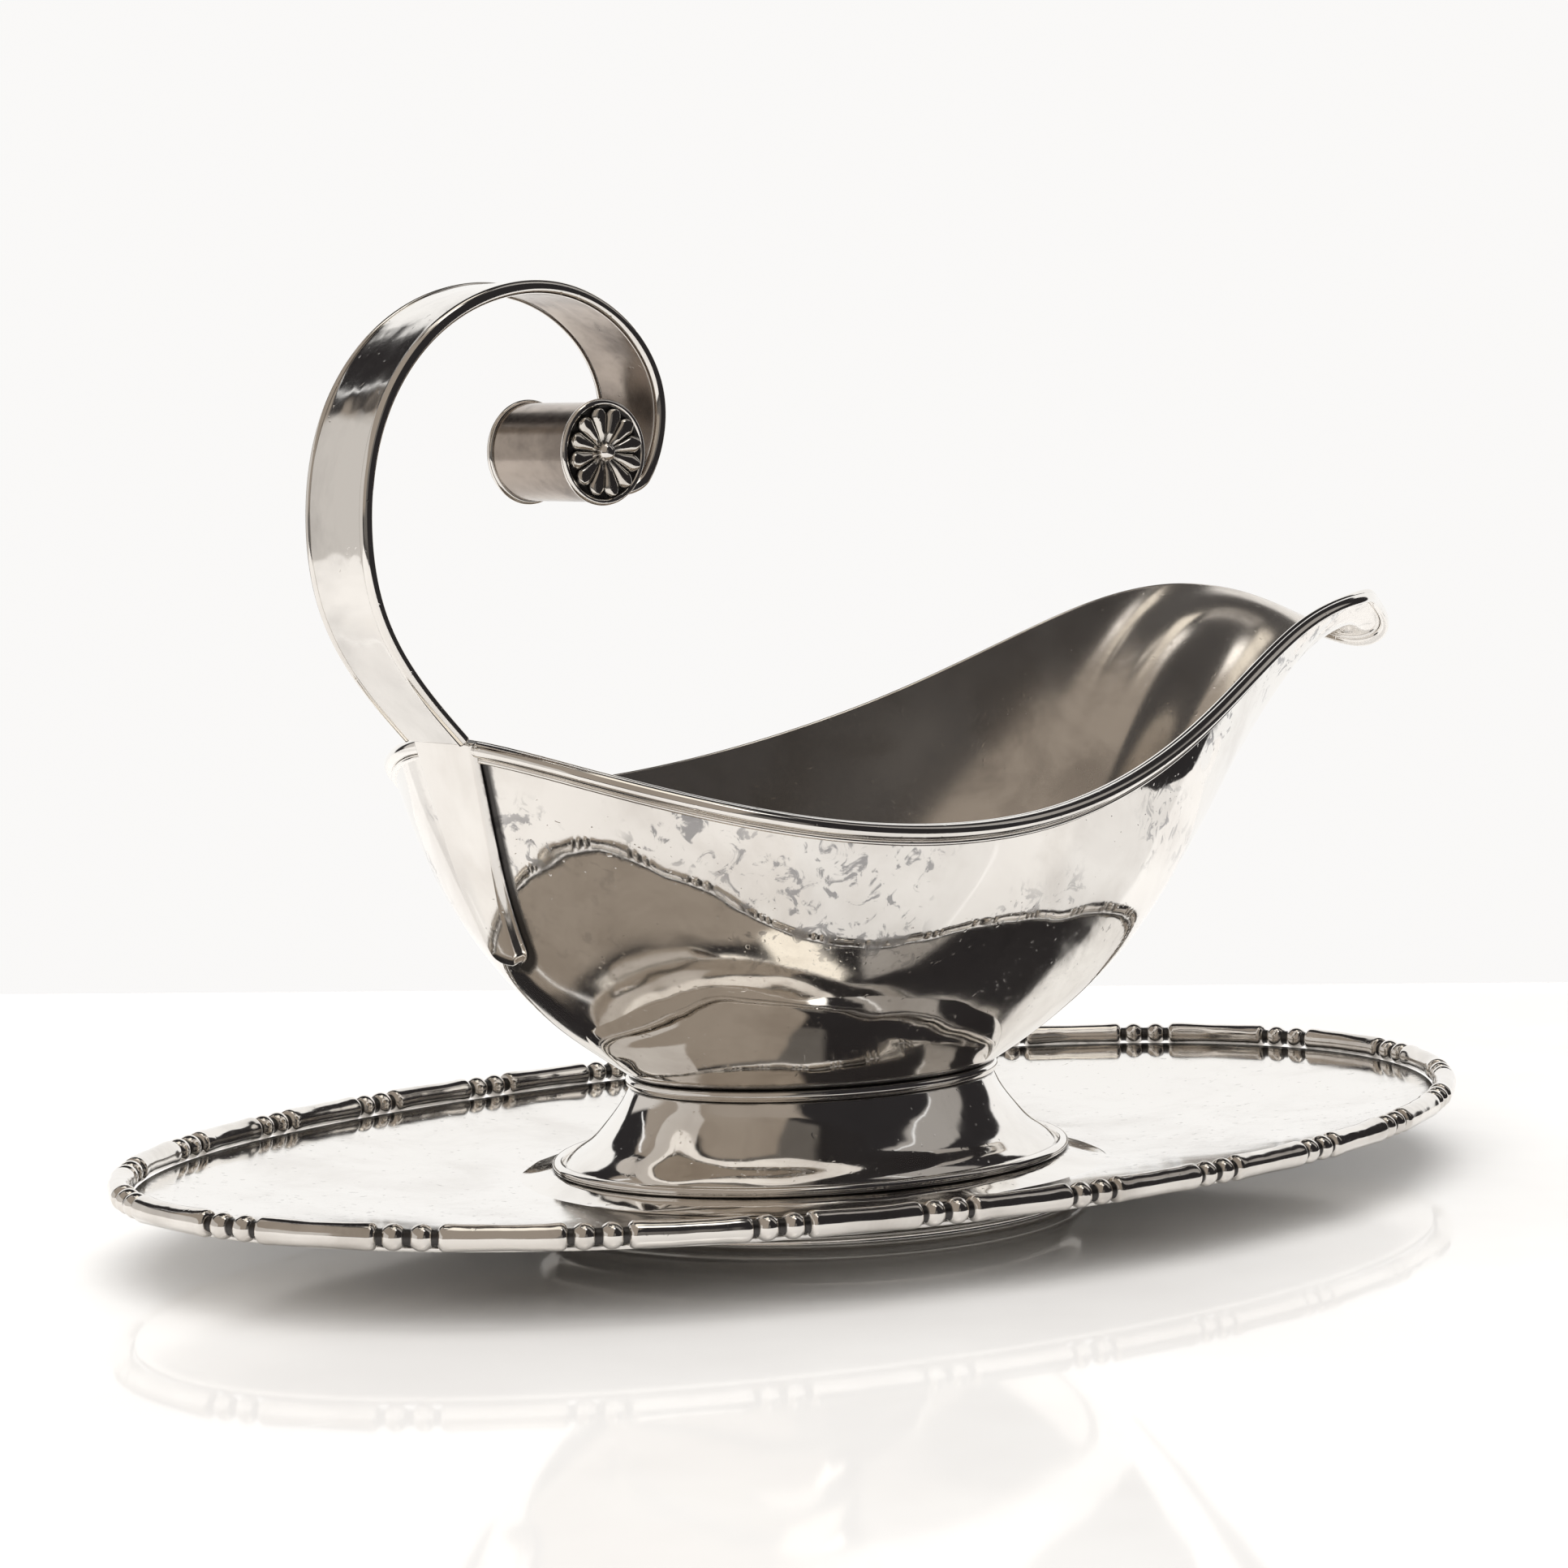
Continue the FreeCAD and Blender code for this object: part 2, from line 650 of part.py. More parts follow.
def border_table(count=1440):
    """Length along the border's centre line at evenly spaced turns."""
    lengths, last = [0.0], border_at_turn(0.0)
    for i in range(1, count + 1):
        here = border_at_turn(2 * math.pi * i / count)
        lengths.append(lengths[-1] + (here - last).Length)
        last = here
    return lengths


def border_at_turn(turn):
    c, s = math.cos(turn), math.sin(turn)
    z = BORDER_Z + BORDER_BOW * c * c
    return V(TRAY_CENTRE_X + BORDER_A * c, BORDER_B * s, z)


BORDER_LENGTHS_AT = border_table()


def border_at(length):
    """Point on the border's centre line at a length from the lip end."""
    count = len(BORDER_LENGTHS_AT) - 1
    length %= BORDER_LENGTHS_AT[-1]
    low, high = 0, count
    while high - low > 1:
        middle = (low + high) // 2
        if BORDER_LENGTHS_AT[middle] <= length:
            low = middle
        else:
            high = middle
    part = (length - BORDER_LENGTHS_AT[low]) / (BORDER_LENGTHS_AT[high] - BORDER_LENGTHS_AT[low])
    return border_at_turn(2 * math.pi * (low + part) / count)


def border_circle(length, radius):
    """Circle square to the border's centre line."""
    ahead = border_at(length + 0.05) - border_at(length - 0.05)
    return Part.Wire(Part.makeCircle(radius, border_at(length), ahead))


def border_bar(start, stop):
    """Bar with rounded, slightly swollen ends."""
    stations = [(start, GROOVE_R), (start + 0.25 * BAR_SWELL, 0.80 * BAR_R),
                (start + BAR_SWELL, 1.02 * BAR_R), (start + 2.4 * BAR_SWELL, 0.97 * BAR_R)]
    middle = [(start + (stop - start) * s, 0.97 * BAR_R) for s in (0.35, 0.5, 0.65)]
    back = [(stop - (at - start), r) for at, r in reversed(stations)]
    wires = [border_circle(at, r) for at, r in stations + middle + back]
    return Part.makeLoft(wires, True, False)


def bead_pair(centre):
    """Two beads and the three necks round them, turned as one piece."""
    here = border_at(centre)
    ahead = border_at(centre + 0.05) - border_at(centre - 0.05)
    ahead.normalize()
    half = BEAD_PITCH + GROOVE_WIDTH / 2
    neck = Part.makeCylinder(GROOVE_R, 2 * half, here - ahead * half, ahead)
    pieces = []
    for side_sign in (-0.5, 0.5):
        middle = here + ahead * (side_sign * BEAD_PITCH)
        ball = Part.makeSphere(BEAD_R, middle)
        keep = (BEAD_PITCH - GROOVE_WIDTH) / 2
        slab = Part.makeCylinder(2 * BEAD_R, 2 * keep, middle - ahead * keep, ahead)
        pieces.append(ball.common(slab))
    return neck.multiFuse(pieces).removeSplitter()


def border_wire(index):
    """One length of the border: bars and bead pairs butted in turn."""
    total = BORDER_LENGTHS_AT[-1]
    pitch = total / BEAD_GROUPS
    half = BEAD_PITCH + GROOVE_WIDTH / 2 + GAP
    per_length = BEAD_GROUPS // BORDER_LENGTHS
    pieces = []
    for k in range(index * per_length, (index + 1) * per_length):
        centre = BORDER_PHASE * total + k * pitch
        pieces.append(bead_pair(centre))
        pieces.append(border_bar(centre + half, centre + pitch - half))
    return Part.makeCompound(pieces)


# ---------------------------------------------------------------- nodes
def nodes():
    parts = {
        "bowl_shell": bowl_shell(),
        "rim_half_round": rim_half_round(),
        "rim_bead_wire": rim_bead_wire(),
        "neck_ring": neck_ring(),
        "foot_collet": foot_collet(),
        "foot_lip_wire": foot_lip_wire(),
        "handle_strap": handle_strap(),
        "handle_tongue": handle_tongue(),
        "scroll_tube": scroll_tube(),
        "tray_plate": tray_plate(),
        "tray_seat_collar": tray_seat_collar(),
        "tray_foot_ring": tray_foot_ring(),
        "tray_foot_wire": tray_foot_wire(),
    }
    for name, sign in (("left", 1), ("right", -1)):
        parts["handle_edge_wire_" + name] = handle_edge_wire(sign)
        parts["scroll_cap_" + name] = scroll_cap(sign)
        parts["cap_collar_" + name] = cap_collar(sign)
        parts["cap_rosette_" + name] = cap_rosette(sign)
        parts["rosette_boss_" + name] = rosette_boss(sign)
    for index in range(BORDER_LENGTHS):
        parts["border_wire_%d" % (index + 1)] = border_wire(index)
    return parts


os.makedirs("parts", exist_ok=True)
for node_name, shape in nodes().items():
    shape.translate(V(CENTRE_SHIFT, 0, 0))
    box = shape.BoundBox
    print("%-24s valid %s solids %d volume %9.2f x %.2f..%.2f y %.2f..%.2f z %.2f..%.2f" % (
        node_name, shape.isValid(), len(shape.Solids), shape.Volume, box.XMin, box.XMax,
        box.YMin, box.YMax, box.ZMin, box.ZMax))
    shape.exportStep("parts/" + node_name + ".step")
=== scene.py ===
"""Looks of the silver sauce boat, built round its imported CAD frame.

Sizes are in millimetres, in the CAD model's own frame, and become metres as each mesh is made.
"""

import json
import math

import bpy
import numpy as np
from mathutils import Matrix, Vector, noise

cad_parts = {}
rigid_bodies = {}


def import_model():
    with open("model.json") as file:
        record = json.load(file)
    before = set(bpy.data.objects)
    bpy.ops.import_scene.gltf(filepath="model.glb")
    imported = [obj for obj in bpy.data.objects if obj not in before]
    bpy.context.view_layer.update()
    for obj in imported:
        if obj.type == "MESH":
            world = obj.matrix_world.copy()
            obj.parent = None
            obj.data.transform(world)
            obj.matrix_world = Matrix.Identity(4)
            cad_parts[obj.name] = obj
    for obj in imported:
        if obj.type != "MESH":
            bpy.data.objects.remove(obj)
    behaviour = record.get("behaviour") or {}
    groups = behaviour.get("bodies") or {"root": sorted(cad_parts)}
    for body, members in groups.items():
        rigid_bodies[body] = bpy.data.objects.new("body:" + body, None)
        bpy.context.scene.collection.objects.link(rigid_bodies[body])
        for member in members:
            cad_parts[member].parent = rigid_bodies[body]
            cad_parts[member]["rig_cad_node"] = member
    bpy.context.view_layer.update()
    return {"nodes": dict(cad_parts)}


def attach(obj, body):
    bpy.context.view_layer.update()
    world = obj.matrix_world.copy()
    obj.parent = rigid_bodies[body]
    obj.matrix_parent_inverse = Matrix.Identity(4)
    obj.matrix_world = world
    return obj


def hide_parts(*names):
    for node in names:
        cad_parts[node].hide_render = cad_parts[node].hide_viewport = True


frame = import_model()

MM = 0.001

# ---------------------------------------------------------------- the object's dimensions
CENTRE_SHIFT = 0.31
TRAY_CENTRE_X = -1.58
BORDER_A, BORDER_B, BORDER_Z, BORDER_BOW = 123.0, 71.6, 11.6, 1.1
BAR_R, BEAD_R, GROOVE_R = 1.95, 1.9, 1.15
BEAD_GROUPS, BEAD_PITCH, GROOVE_WIDTH = 24, 3.9, 0.7
BAR_SWELL = 0.9                # reach of the rounding at each end of a bar
BORDER_BUTT = 0.03             # gap between two lengths of pattern wire
BORDER_PHASE = 0.020
BORDER_LENGTHS = 4
TRAY_FLOOR_Z, TRAY_EDGE_DROP, TRAY_T, TRAY_FLAT, TRAY_RISE = 5.8, 1.4, 0.9, 0.45, 1.6
TRAY_LAP = 0.2                 # how far the sheet runs under the border wire
FOOT_CENTRE_X = TRAY_CENTRE_X - 2.7
NECK_A, NECK_B, NECK_Z = 31.8, 23.6, 21.8
LIP_A, LIP_B = 43.9, 33.6
SEAT_Z, SEAT_A, SEAT_B = 7.4, 49.1, 43.9
SEAT_INSET, SEAT_SHOW, SEAT_SUNK = 2.4, 0.6, 0.05
STAND_FOOT_A, STAND_FOOT_B, STAND_FOOT_FLARE, STAND_FOOT_T = 45.6, 39.0, 2.0, 1.2
STAND_WIRE_R, STAND_WIRE_FLAT, STAND_WIRE_INSET = 0.9, 0.55, 0.6
SHEET = 1.1
NECK_WIRE, NECK_WIRE_PROUD, NECK_WIRE_INSET = 1.7, 0.75, 1.6
LIP_WIRE, LIP_WIRE_PROUD, LIP_WIRE_INSET = 1.6, 0.85, 0.6
BOWL_RING = 540                # vertices in each ring of the bowl's mesh
BOWL_RINGS_UP = 110            # rings up each face of the wall
BOWL_EDGE_STEPS = 6            # steps over the rounded edge
BOWL_EDGE_ROUND = 0.42         # height of the rounded edge
BASE_RING_SHARES = (0.33, 0.66)        # rings on the bowl's flat underside
FLOOR_RINGS = 13               # rings on its flat floor
# Sections of the bowl from the lip's tip round one side to the handle: rim x, y and z, slopes
# of the wall at the neck and the rim in degrees, and its fullness low down and high up.
BOWL_STATIONS = [
    (125.3, 0.0, 82.9, 18, -30, 0.50, 0.25),
    (121.8, 9.2, 85.9, 19, -21, 0.50, 0.26),
    (111.9, 15.8, 90.9, 21, -2, 0.45, 0.31),
    (100.4, 23.0, 92.8, 24, 27, 0.44, 0.35),
    (82.4, 27.1, 89.9, 27, 54, 0.43, 0.37),
    (46.4, 37.4, 76.0, 31, 76, 0.46, 0.37),
    (-2.0, 49.6, 64.8, 43, 77, 0.49, 0.40),
    (-41.6, 46.0, 65.6, 40, 75, 0.53, 0.54),
    (-66.0, 26.8, 72.1, 41, 72, 0.52, 0.50),
    (-76.0, 0.0, 77.0, 25, 73, 0.47, 0.41),
]
RIM_BAND, RIM_PROUD, RIM_BEAD_R = 2.3, 1.15, 0.45
RIM_SUNK = 0.25                # how far the backs of the rim wires reach into the wall
STRAP_W, STRAP_T, EDGE_WIRE_R = 14.7, 1.5, 0.95
STRAP_PATH = [
    (-77.4, 76.9), (-84.6, 84.3), (-91.4, 94.4), (-94.2, 109.0), (-90.6, 125.0),
    (-82.1, 135.4), (-70.2, 141.2), (-58.4, 141.9), (-46.6, 136.7), (-40.2, 127.0),
    (-40.7, 118.7), (-44.6, 112.6), (-50.55, 110.13),
]
STRAP_FEATHER = 9.0            # length over which the strap's end is thinned onto the tube
STRAP_END_THIN = 0.82          # share of its thickness filed off by then
STRAP_SEAT = 0.10              # middle of the filed end above the tube
STRAP_ACROSS = 44              # vertices across each face of the strap
TUBE_X, TUBE_Z, TUBE_R, TUBE_HALF = -52.7, 118.15, 7.3, 8.2
TUBE_WALL, VENT_R = 0.7, 0.45
VENT_WAY = (-0.42, 0, -0.9075)
CAP_T, CAP_SUNK, COLLAR_R = 0.9, 0.25, 0.55
PETALS, PETAL_TURN = 12, 18.0
PETAL_ROOT_R, PETAL_END_R, PETAL_FROM, PETAL_TO = 0.30, 1.38, 1.0, 5.25
BOSS_R, BOSS_LIFT = 1.45, 0.2
TONGUE_TOP_W, TONGUE_END_W = 13.6, 7.0
TONGUE_T, TONGUE_END_T, TONGUE_EDGE = 1.3, 2.1, 0.35
TONGUE_FROM, TONGUE_TO, TONGUE_ROUND, TONGUE_BLUNT = 0.985, 0.47, 0.90, 0.12


# ---------------------------------------------------------------- curves
def spline_bends(values, steps, closed):
    """Second derivatives of a cubic spline at its points."""
    n = len(values)
    matrix = np.zeros((n, n))
    rhs = np.zeros(values.shape)
    for i in range(n):
        if not closed and i in (0, n - 1):
            matrix[i, i] = 1
            continue
        before, after = steps[i - 1], steps[i]
        matrix[i, i - 1] += before
        matrix[i, i] += 2 * (before + after)
        matrix[i, (i + 1) % n] += after
        rise = (values[(i + 1) % n] - values[i]) / after
        fall = (values[i] - values[i - 1]) / before
        rhs[i] = 6 * (rise - fall)
    return np.linalg.solve(matrix, rhs)


def spline_at(values, bends, steps, along):
    """Values of a cubic spline at lengths along it."""
    edges = np.concatenate([[0.0], np.cumsum(steps)])
    i = np.clip(np.searchsorted(edges, along, side="right") - 1, 0, len(steps) - 1)
    j = (i + 1) % len(values)
    step = steps[i][..., None]
    b = (along - edges[i])[..., None] / step
    a = 1 - b
    curve = ((a ** 3 - a) * bends[i] + (b ** 3 - b) * bends[j]) * step * step / 6
    return a * values[i] + b * values[j] + curve


other_side = [(row[0], -row[1]) + row[2:] for row in BOWL_STATIONS[-2:0:-1]]
bowl_rows = np.array(BOWL_STATIONS + other_side)
bowl_next = np.roll(bowl_rows, -1, axis=0)
bowl_steps = np.sqrt(np.linalg.norm(bowl_next[:, :3] - bowl_rows[:, :3], axis=1))
bowl_bends = spline_bends(bowl_rows, bowl_steps, True)


def unit(v):
    return v / np.maximum(np.linalg.norm(v, axis=-1, keepdims=True), 1e-12)


def bowl_point(share, height):
    """Outside of the bowl at shares of the way round from the lip and of the way up."""
    share, height = np.broadcast_arrays(np.asarray(share, float), np.asarray(height, float))
    values = spline_at(bowl_rows, bowl_bends, bowl_steps, (share % 1.0) * bowl_steps.sum())
    x, y, z, slope0, slope1, full0, full1 = np.moveaxis(values, -1, 0)
    turn = np.arctan2(y / NECK_B, (x - FOOT_CENTRE_X) / NECK_A)
    neck = np.stack([FOOT_CENTRE_X + NECK_A * np.cos(turn), NECK_B * np.sin(turn),
                     np.full(x.shape, NECK_Z)], -1)
    rim = np.stack([x, y, z], -1)
    span = rim - neck
    level = unit(span * np.array([1, 1, 0]))
    up = np.array([0, 0, 1.0])
    low, high = np.radians(slope0)[..., None], np.radians(slope1)[..., None]
    reach = np.linalg.norm(span, axis=-1, keepdims=True)
    first = neck + (level * np.cos(low) + up * np.sin(low)) * (full0[..., None] * reach)
    second = rim - (level * np.cos(high) + up * np.sin(high)) * (full1[..., None] * reach)
    t = height[..., None]
    k = 1 - t
    return neck * k ** 3 + first * (3 * k * k * t) + second * (3 * k * t * t) + rim * t ** 3


def bowl_frame(share, height):
    """Points on the outside of the bowl, outward normals and ways up the wall."""
    step = 0.002
    here = bowl_point(share, height)
    around = bowl_point(share + step, height) - bowl_point(share - step, height)
    top, low = np.minimum(1.0, height + step), np.maximum(0.0, height - step)
    up = unit(bowl_point(share, top) - bowl_point(share, low))
    return here, unit(np.cross(around, up)), up


def strap_frames(count):
    """Middle line of the strap, evenly spaced, with the direction out of the scroll."""
    points = np.array(STRAP_PATH)
    steps = np.linalg.norm(np.diff(points, axis=0), axis=1)
    bends = spline_bends(points, steps, False)
    fine = spline_at(points, bends, steps, np.linspace(0, steps.sum(), 2001))
    length = np.concatenate([[0], np.cumsum(np.linalg.norm(np.diff(fine, axis=0), axis=1))])
    even = np.linspace(0, length[-1], count)
    line = np.stack([np.interp(even, length, fine[:, k]) for k in (0, 1)], -1)
    ahead = unit(np.gradient(line, axis=0))
    here = np.stack([line[:, 0], np.zeros(count), line[:, 1]], -1)
    out = np.stack([-ahead[:, 1], np.zeros(count), ahead[:, 0]], -1)
    return here, out


def border_point(turn):
    c, s = np.cos(turn), np.sin(turn)
    return np.stack([TRAY_CENTRE_X + BORDER_A * c, BORDER_B * s,
                     BORDER_Z + BORDER_BOW * c * c], -1)


# ---------------------------------------------------------------- meshes
def wave(points, size, depth, seed):
    """Gentle unevenness of hand work: one height per point."""
    offset = Vector((seed * 13.7, seed * 5.1, seed * 9.3))
    flat = points.reshape(-1, 3) / size
    heights = [noise.noise(Vector(p) + offset) for p in flat]
    return depth * np.array(heights).reshape(points.shape[:-1])


def oval_ring(a, b, z, turn, centre_x=FOOT_CENTRE_X):
    """Level oval of points, one for each turn."""
    return np.stack([centre_x + a * np.cos(turn), b * np.sin(turn), np.full(len(turn), z)], -1)


def full_turn(count):
    return np.linspace(0, 2 * math.pi, count, endpoint=False)


def make_object(name, points, faces, tint=None, mottle=None):
    """Mesh object from points in millimetres, smooth, with its darkening and mottling per point.
    """
    mesh = bpy.data.meshes.new(name)
    place = (np.asarray(points, float) + np.array([CENTRE_SHIFT, 0, 0])) * MM
    mesh.from_pydata(place.tolist(), [], faces)
    mesh.polygons.foreach_set("use_smooth", [True] * len(mesh.polygons))
    for attribute, values in (("recess", tint), ("mottle", mottle)):
        layer = mesh.attributes.new(attribute, "FLOAT", "POINT")
        if values is not None:
            layer.data.foreach_set("value", np.asarray(values, np.float32))
    mesh.update()
    piece = bpy.data.objects.new(name, mesh)
    bpy.context.scene.collection.objects.link(piece)
    return piece


class Builder:
    """Collects grids of points into one mesh."""

    def __init__(self):
        self.points, self.faces, self.tints, self.count = [], [], [], 0

    def grid(self, points, tint=None, wrap_rows=False, wrap_columns=False, flip=False,
             cap_first=False, cap_last=False):
        """Adds a grid (rows, columns, 3); caps close a wrapped grid's first or last row."""
        rows, columns = points.shape[:2]
        base = self.count
        self.points.append(points.reshape(-1, 3))
        self.tints.append(np.zeros(rows * columns) if tint is None else tint.reshape(-1))
        index = base + np.arange(rows * columns).reshape(rows, columns)
        r0 = np.arange(rows if wrap_rows else rows - 1)
        c0 = np.arange(columns if wrap_columns else columns - 1)
        r0, c0 = np.meshgrid(r0, c0, indexing="ij")
        r1, c1 = (r0 + 1) % rows, (c0 + 1) % columns
        quads = np.stack([index[r0, c0], index[r0, c1], index[r1, c1], index[r1, c0]], -1)
        quads = quads.reshape(-1, 4)
        caps = []
        if cap_first:
            caps.append(index[0][::-1].tolist())
        if cap_last:
            caps.append(index[-1].tolist())
        if flip:
            quads = quads[:, ::-1]
            caps = [cap[::-1] for cap in caps]
        self.faces += quads.tolist() + caps
        self.count += rows * columns

    def finish(self, name, mottle=None):
        return make_object(name, np.concatenate(self.points), self.faces,
                           np.concatenate(self.tints), mottle)


def sweep(here, side_way, up_way, section):
    """Grid of a section carried along a path: section holds (side, up) pairs."""
    section = np.asarray(section, float)
    if section.ndim == 2:
        section = np.broadcast_to(section, (len(here),) + section.shape)
    return (here[:, None] + side_way[:, None] * section[..., :1]
            + up_way[:, None] * section[..., 1:2])


def oval_sweep(name, a, b, z, section, count=360):
    """Ring round the foot's axis: section holds (outwards, up) pairs, as a closed loop."""
    turn = full_turn(count)
    here = oval_ring(a, b, z, turn)
    out = oval_ring(1.0, 1.0, 0.0, turn, 0.0)
    up = np.broadcast_to(np.array([0, 0, 1.0]), out.shape)
    builder = Builder()
    builder.grid(sweep(here, out, up, section), wrap_rows=True, wrap_columns=True)
    return builder.finish(name)


def lathe(profile, centre, axis, count):
    """Grid of a profile of (radius, along) pairs turned about an axis through a point."""
    axis = np.asarray(axis, float)
    helper = np.array([0, 0, 1.0]) if abs(axis[2]) < 0.9 else np.array([1.0, 0, 0])
    first = unit(np.cross(helper, axis))
    second = np.cross(axis, first)
    turn = full_turn(count)
    ring = first * np.cos(turn)[:, None] + second * np.sin(turn)[:, None]
    profile = np.asarray(profile, float)
    return (np.asarray(centre, float) + ring[None] * profile[:, None, :1]
            + axis * profile[:, None, 1:2])


def place(piece, slot, *nodes):
    """Puts a piece on the body and hides the CAD nodes it stands for."""
    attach(piece, "root")
    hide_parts(*nodes)
    return piece


# ---------------------------------------------------------------- bowl
def near_tongue(points):
    """How near points of the bowl's wall are to the tongue's edge, 1 at the edge."""
    heights = np.linspace(TONGUE_FROM, TONGUE_TO, 60)
    down = (heights - TONGUE_FROM) / (TONGUE_TO - TONGUE_FROM)
    half = tongue_half_width(down)
    spine = bowl_point(np.full(60, 0.5), heights)
    outline = np.concatenate([spine + np.stack([0 * half, s * half, 0 * half], -1)
                              for s in (1, -1)])
    flat = points.reshape(-1, 3)
    best = np.full(len(flat), 1e9)
    for edge in outline:
        delta = (flat - edge) * np.array([0.6, 1, 1])
        best = np.minimum(best, np.einsum("ij,ij->i", delta, delta))
    return np.clip(1 - np.sqrt(best) / 2.6, 0, 1).reshape(points.shape[:-1])


def tongue_half_width(down):
    taper = TONGUE_TOP_W / 2 + (TONGUE_END_W - TONGUE_TOP_W) / 2 * down
    past = np.clip((down - TONGUE_ROUND) / (1 - TONGUE_ROUND), 0, 1)
    return taper * np.sqrt(np.maximum(TONGUE_BLUNT, 1 - past * past))


def tongue_share(height, half_width):
    """Shares of the way round at which the bowl's back is half_width from the mid-plane."""
    shares = np.linspace(0.42, 0.5, 400)
    out = []
    for h, w in zip(height, half_width):
        y = bowl_point(shares, np.full(400, h))[:, 1]
        out.append(np.interp(w, y[::-1], shares[::-1]))
    return np.array(out)


def bowl_darkening(height, points, wall_length):
    """Darkening of the bowl's wall: under the rim, beside the tongue and over the neck wire."""
    under_rim = np.clip(1 - (1 - height) * wall_length / 7.5, 0, 1)
    # Beside the tongue: oxide at the solder joint plus a painted reflection of the tongue's side.
    beside_tongue = np.clip(near_tongue(points) * 1.5, 0, 1)
    over_neck = np.clip(1 - height * 26, 0, 1) * 0.8
    return np.maximum(np.maximum(0.42 * under_rim, beside_tongue), over_neck)


def build_bowl():
    shares = np.linspace(0, 1, BOWL_RING, endpoint=False)
    share, height = np.meshgrid(shares, np.linspace(0, 1, BOWL_RINGS_UP))
    here, out, way = bowl_frame(share, height)
    rough = wave(here, 9.0, 0.10, 1) + wave(here, 22.0, 0.22, 2)
    rough *= np.minimum(1, (1 - height) * 9) * np.minimum(1, height * 9)
    outer = here + out * rough[..., None]
    inner_rough = wave(here, 10.0, 0.07, 3) + wave(here, 26.0, 0.18, 4)
    inner_rough *= np.minimum(1, (1 - height) * 9)
    inner = here - out * (SHEET + inner_rough[..., None])
    floor_z = NECK_Z + SHEET
    inner[..., 2] = np.maximum(inner[..., 2], floor_z)
    darkening = bowl_darkening(height, outer, np.linalg.norm(here[-1] - here[0], axis=-1)[None])

    top_here, top_out, top_up = here[-1], out[-1], way[-1]
    edge = []
    for k in range(1, BOWL_EDGE_STEPS):
        t = math.pi * k / BOWL_EDGE_STEPS
        edge.append(top_here - top_out * (SHEET / 2 * (1 - math.cos(t)))
                    + top_up * (BOWL_EDGE_ROUND * (math.sin(t) - 1)))
    outer[-1] = top_here - top_up * BOWL_EDGE_ROUND
    inner[-1] = top_here - top_out * SHEET - top_up * BOWL_EDGE_ROUND

    under, floor_middle = (np.array([FOOT_CENTRE_X, 0, z]) for z in (NECK_Z, floor_z))
    base = [under + (outer[0] - under) * s for s in BASE_RING_SHARES]
    floor = []
    for k in range(1, FLOOR_RINGS + 1):
        floor.append(floor_middle + (inner[0] - floor_middle) * (1 - k / (FLOOR_RINGS + 1)))
    rows = base + list(outer) + edge + list(inner[::-1]) + floor
    tint, mottle = np.zeros((2, len(rows), BOWL_RING))
    tint[len(base):len(base) + BOWL_RINGS_UP] = darkening
    mottle[len(base):len(base) + BOWL_RINGS_UP] = np.clip((height - 0.45) * 3, 0, 1)
    builder = Builder()
    builder.grid(np.array(rows), tint, wrap_columns=True, cap_first=True, cap_last=True)
    place(builder.finish("bowl_visual", mottle.reshape(-1)), "hammered_silver", "bowl_shell")


def rim_paths(count=720):
    clear = float(tongue_share([1.0], [TONGUE_TOP_W / 2 + 0.1])[0])
    share = np.linspace(clear - 1.0, 1.0 - clear, count)
    return bowl_frame(share, np.ones(count))


def build_rim():
    edge, out, up = rim_paths()
    bow = [math.pi * i / 14 for i in range(15)]
    section = [(RIM_PROUD * math.sin(t), -RIM_BAND / 2 * (1 - math.cos(t))) for t in bow]
    section += [(-RIM_SUNK, -RIM_BAND), (-RIM_SUNK, 0.0)]
    builder = Builder()
    builder.grid(sweep(edge, out, up, section), wrap_columns=True, flip=True,
                 cap_first=True, cap_last=True)
    place(builder.finish("rim_moulding"), "polished_silver", "rim_half_round")
    section = [(RIM_BEAD_R * 1.25 * math.sin(t), -RIM_BAND - RIM_BEAD_R * (1 - math.cos(t)))
               for t in bow]
    section += [(-RIM_SUNK, -RIM_BAND - 2 * RIM_BEAD_R), (-RIM_SUNK, -RIM_BAND)]
    builder = Builder()
    tint = np.full((len(edge), len(section)), 0.1)
    builder.grid(sweep(edge, out, up, section), tint, wrap_columns=True, flip=True,
                 cap_first=True, cap_last=True)
    place(builder.finish("rim_bead"), "polished_silver", "rim_bead_wire")


# ---------------------------------------------------------------- foot and seat
def curve_through(points, count):
    """Smooth (side, up) curve through a few points."""
    points = np.asarray(points, float)
    steps = np.linalg.norm(np.diff(points, axis=0), axis=1)
    bends = spline_bends(points, steps, False)
    return spline_at(points, bends, steps, np.linspace(0, steps.sum(), count))


def foot_wall():
    """Rings down the outside of the foot, darker at its top and bottom."""
    shape = [(0.0, 0.0), (0.135, 0.22), (0.36, 0.48), (0.58, 0.68), (0.79, 0.81), (1.0, 1.0)]
    top = NECK_Z - NECK_WIRE
    turn = full_turn(480)
    out = oval_ring(1.0, 1.0, 0.0, turn, 0.0)
    rows, tints = [], []
    for go, down in curve_through(shape, 40):
        ring = oval_ring(NECK_A + (LIP_A - NECK_A) * go, NECK_B + (LIP_B - NECK_B) * go,
                         top + (SEAT_Z - top) * down, turn)
        ease = min(1.0, 6 * down, 6 * (1 - down))
        rough = ease * (wave(ring, 7.0, 0.07, 5) + wave(ring, 18.0, 0.18, 6))
        rows.append(ring + out * rough[:, None])
        tints.append(np.full(len(turn), max(0.0, 0.9 - down * 16, (down - 0.94) * 9)))
    return rows, tints


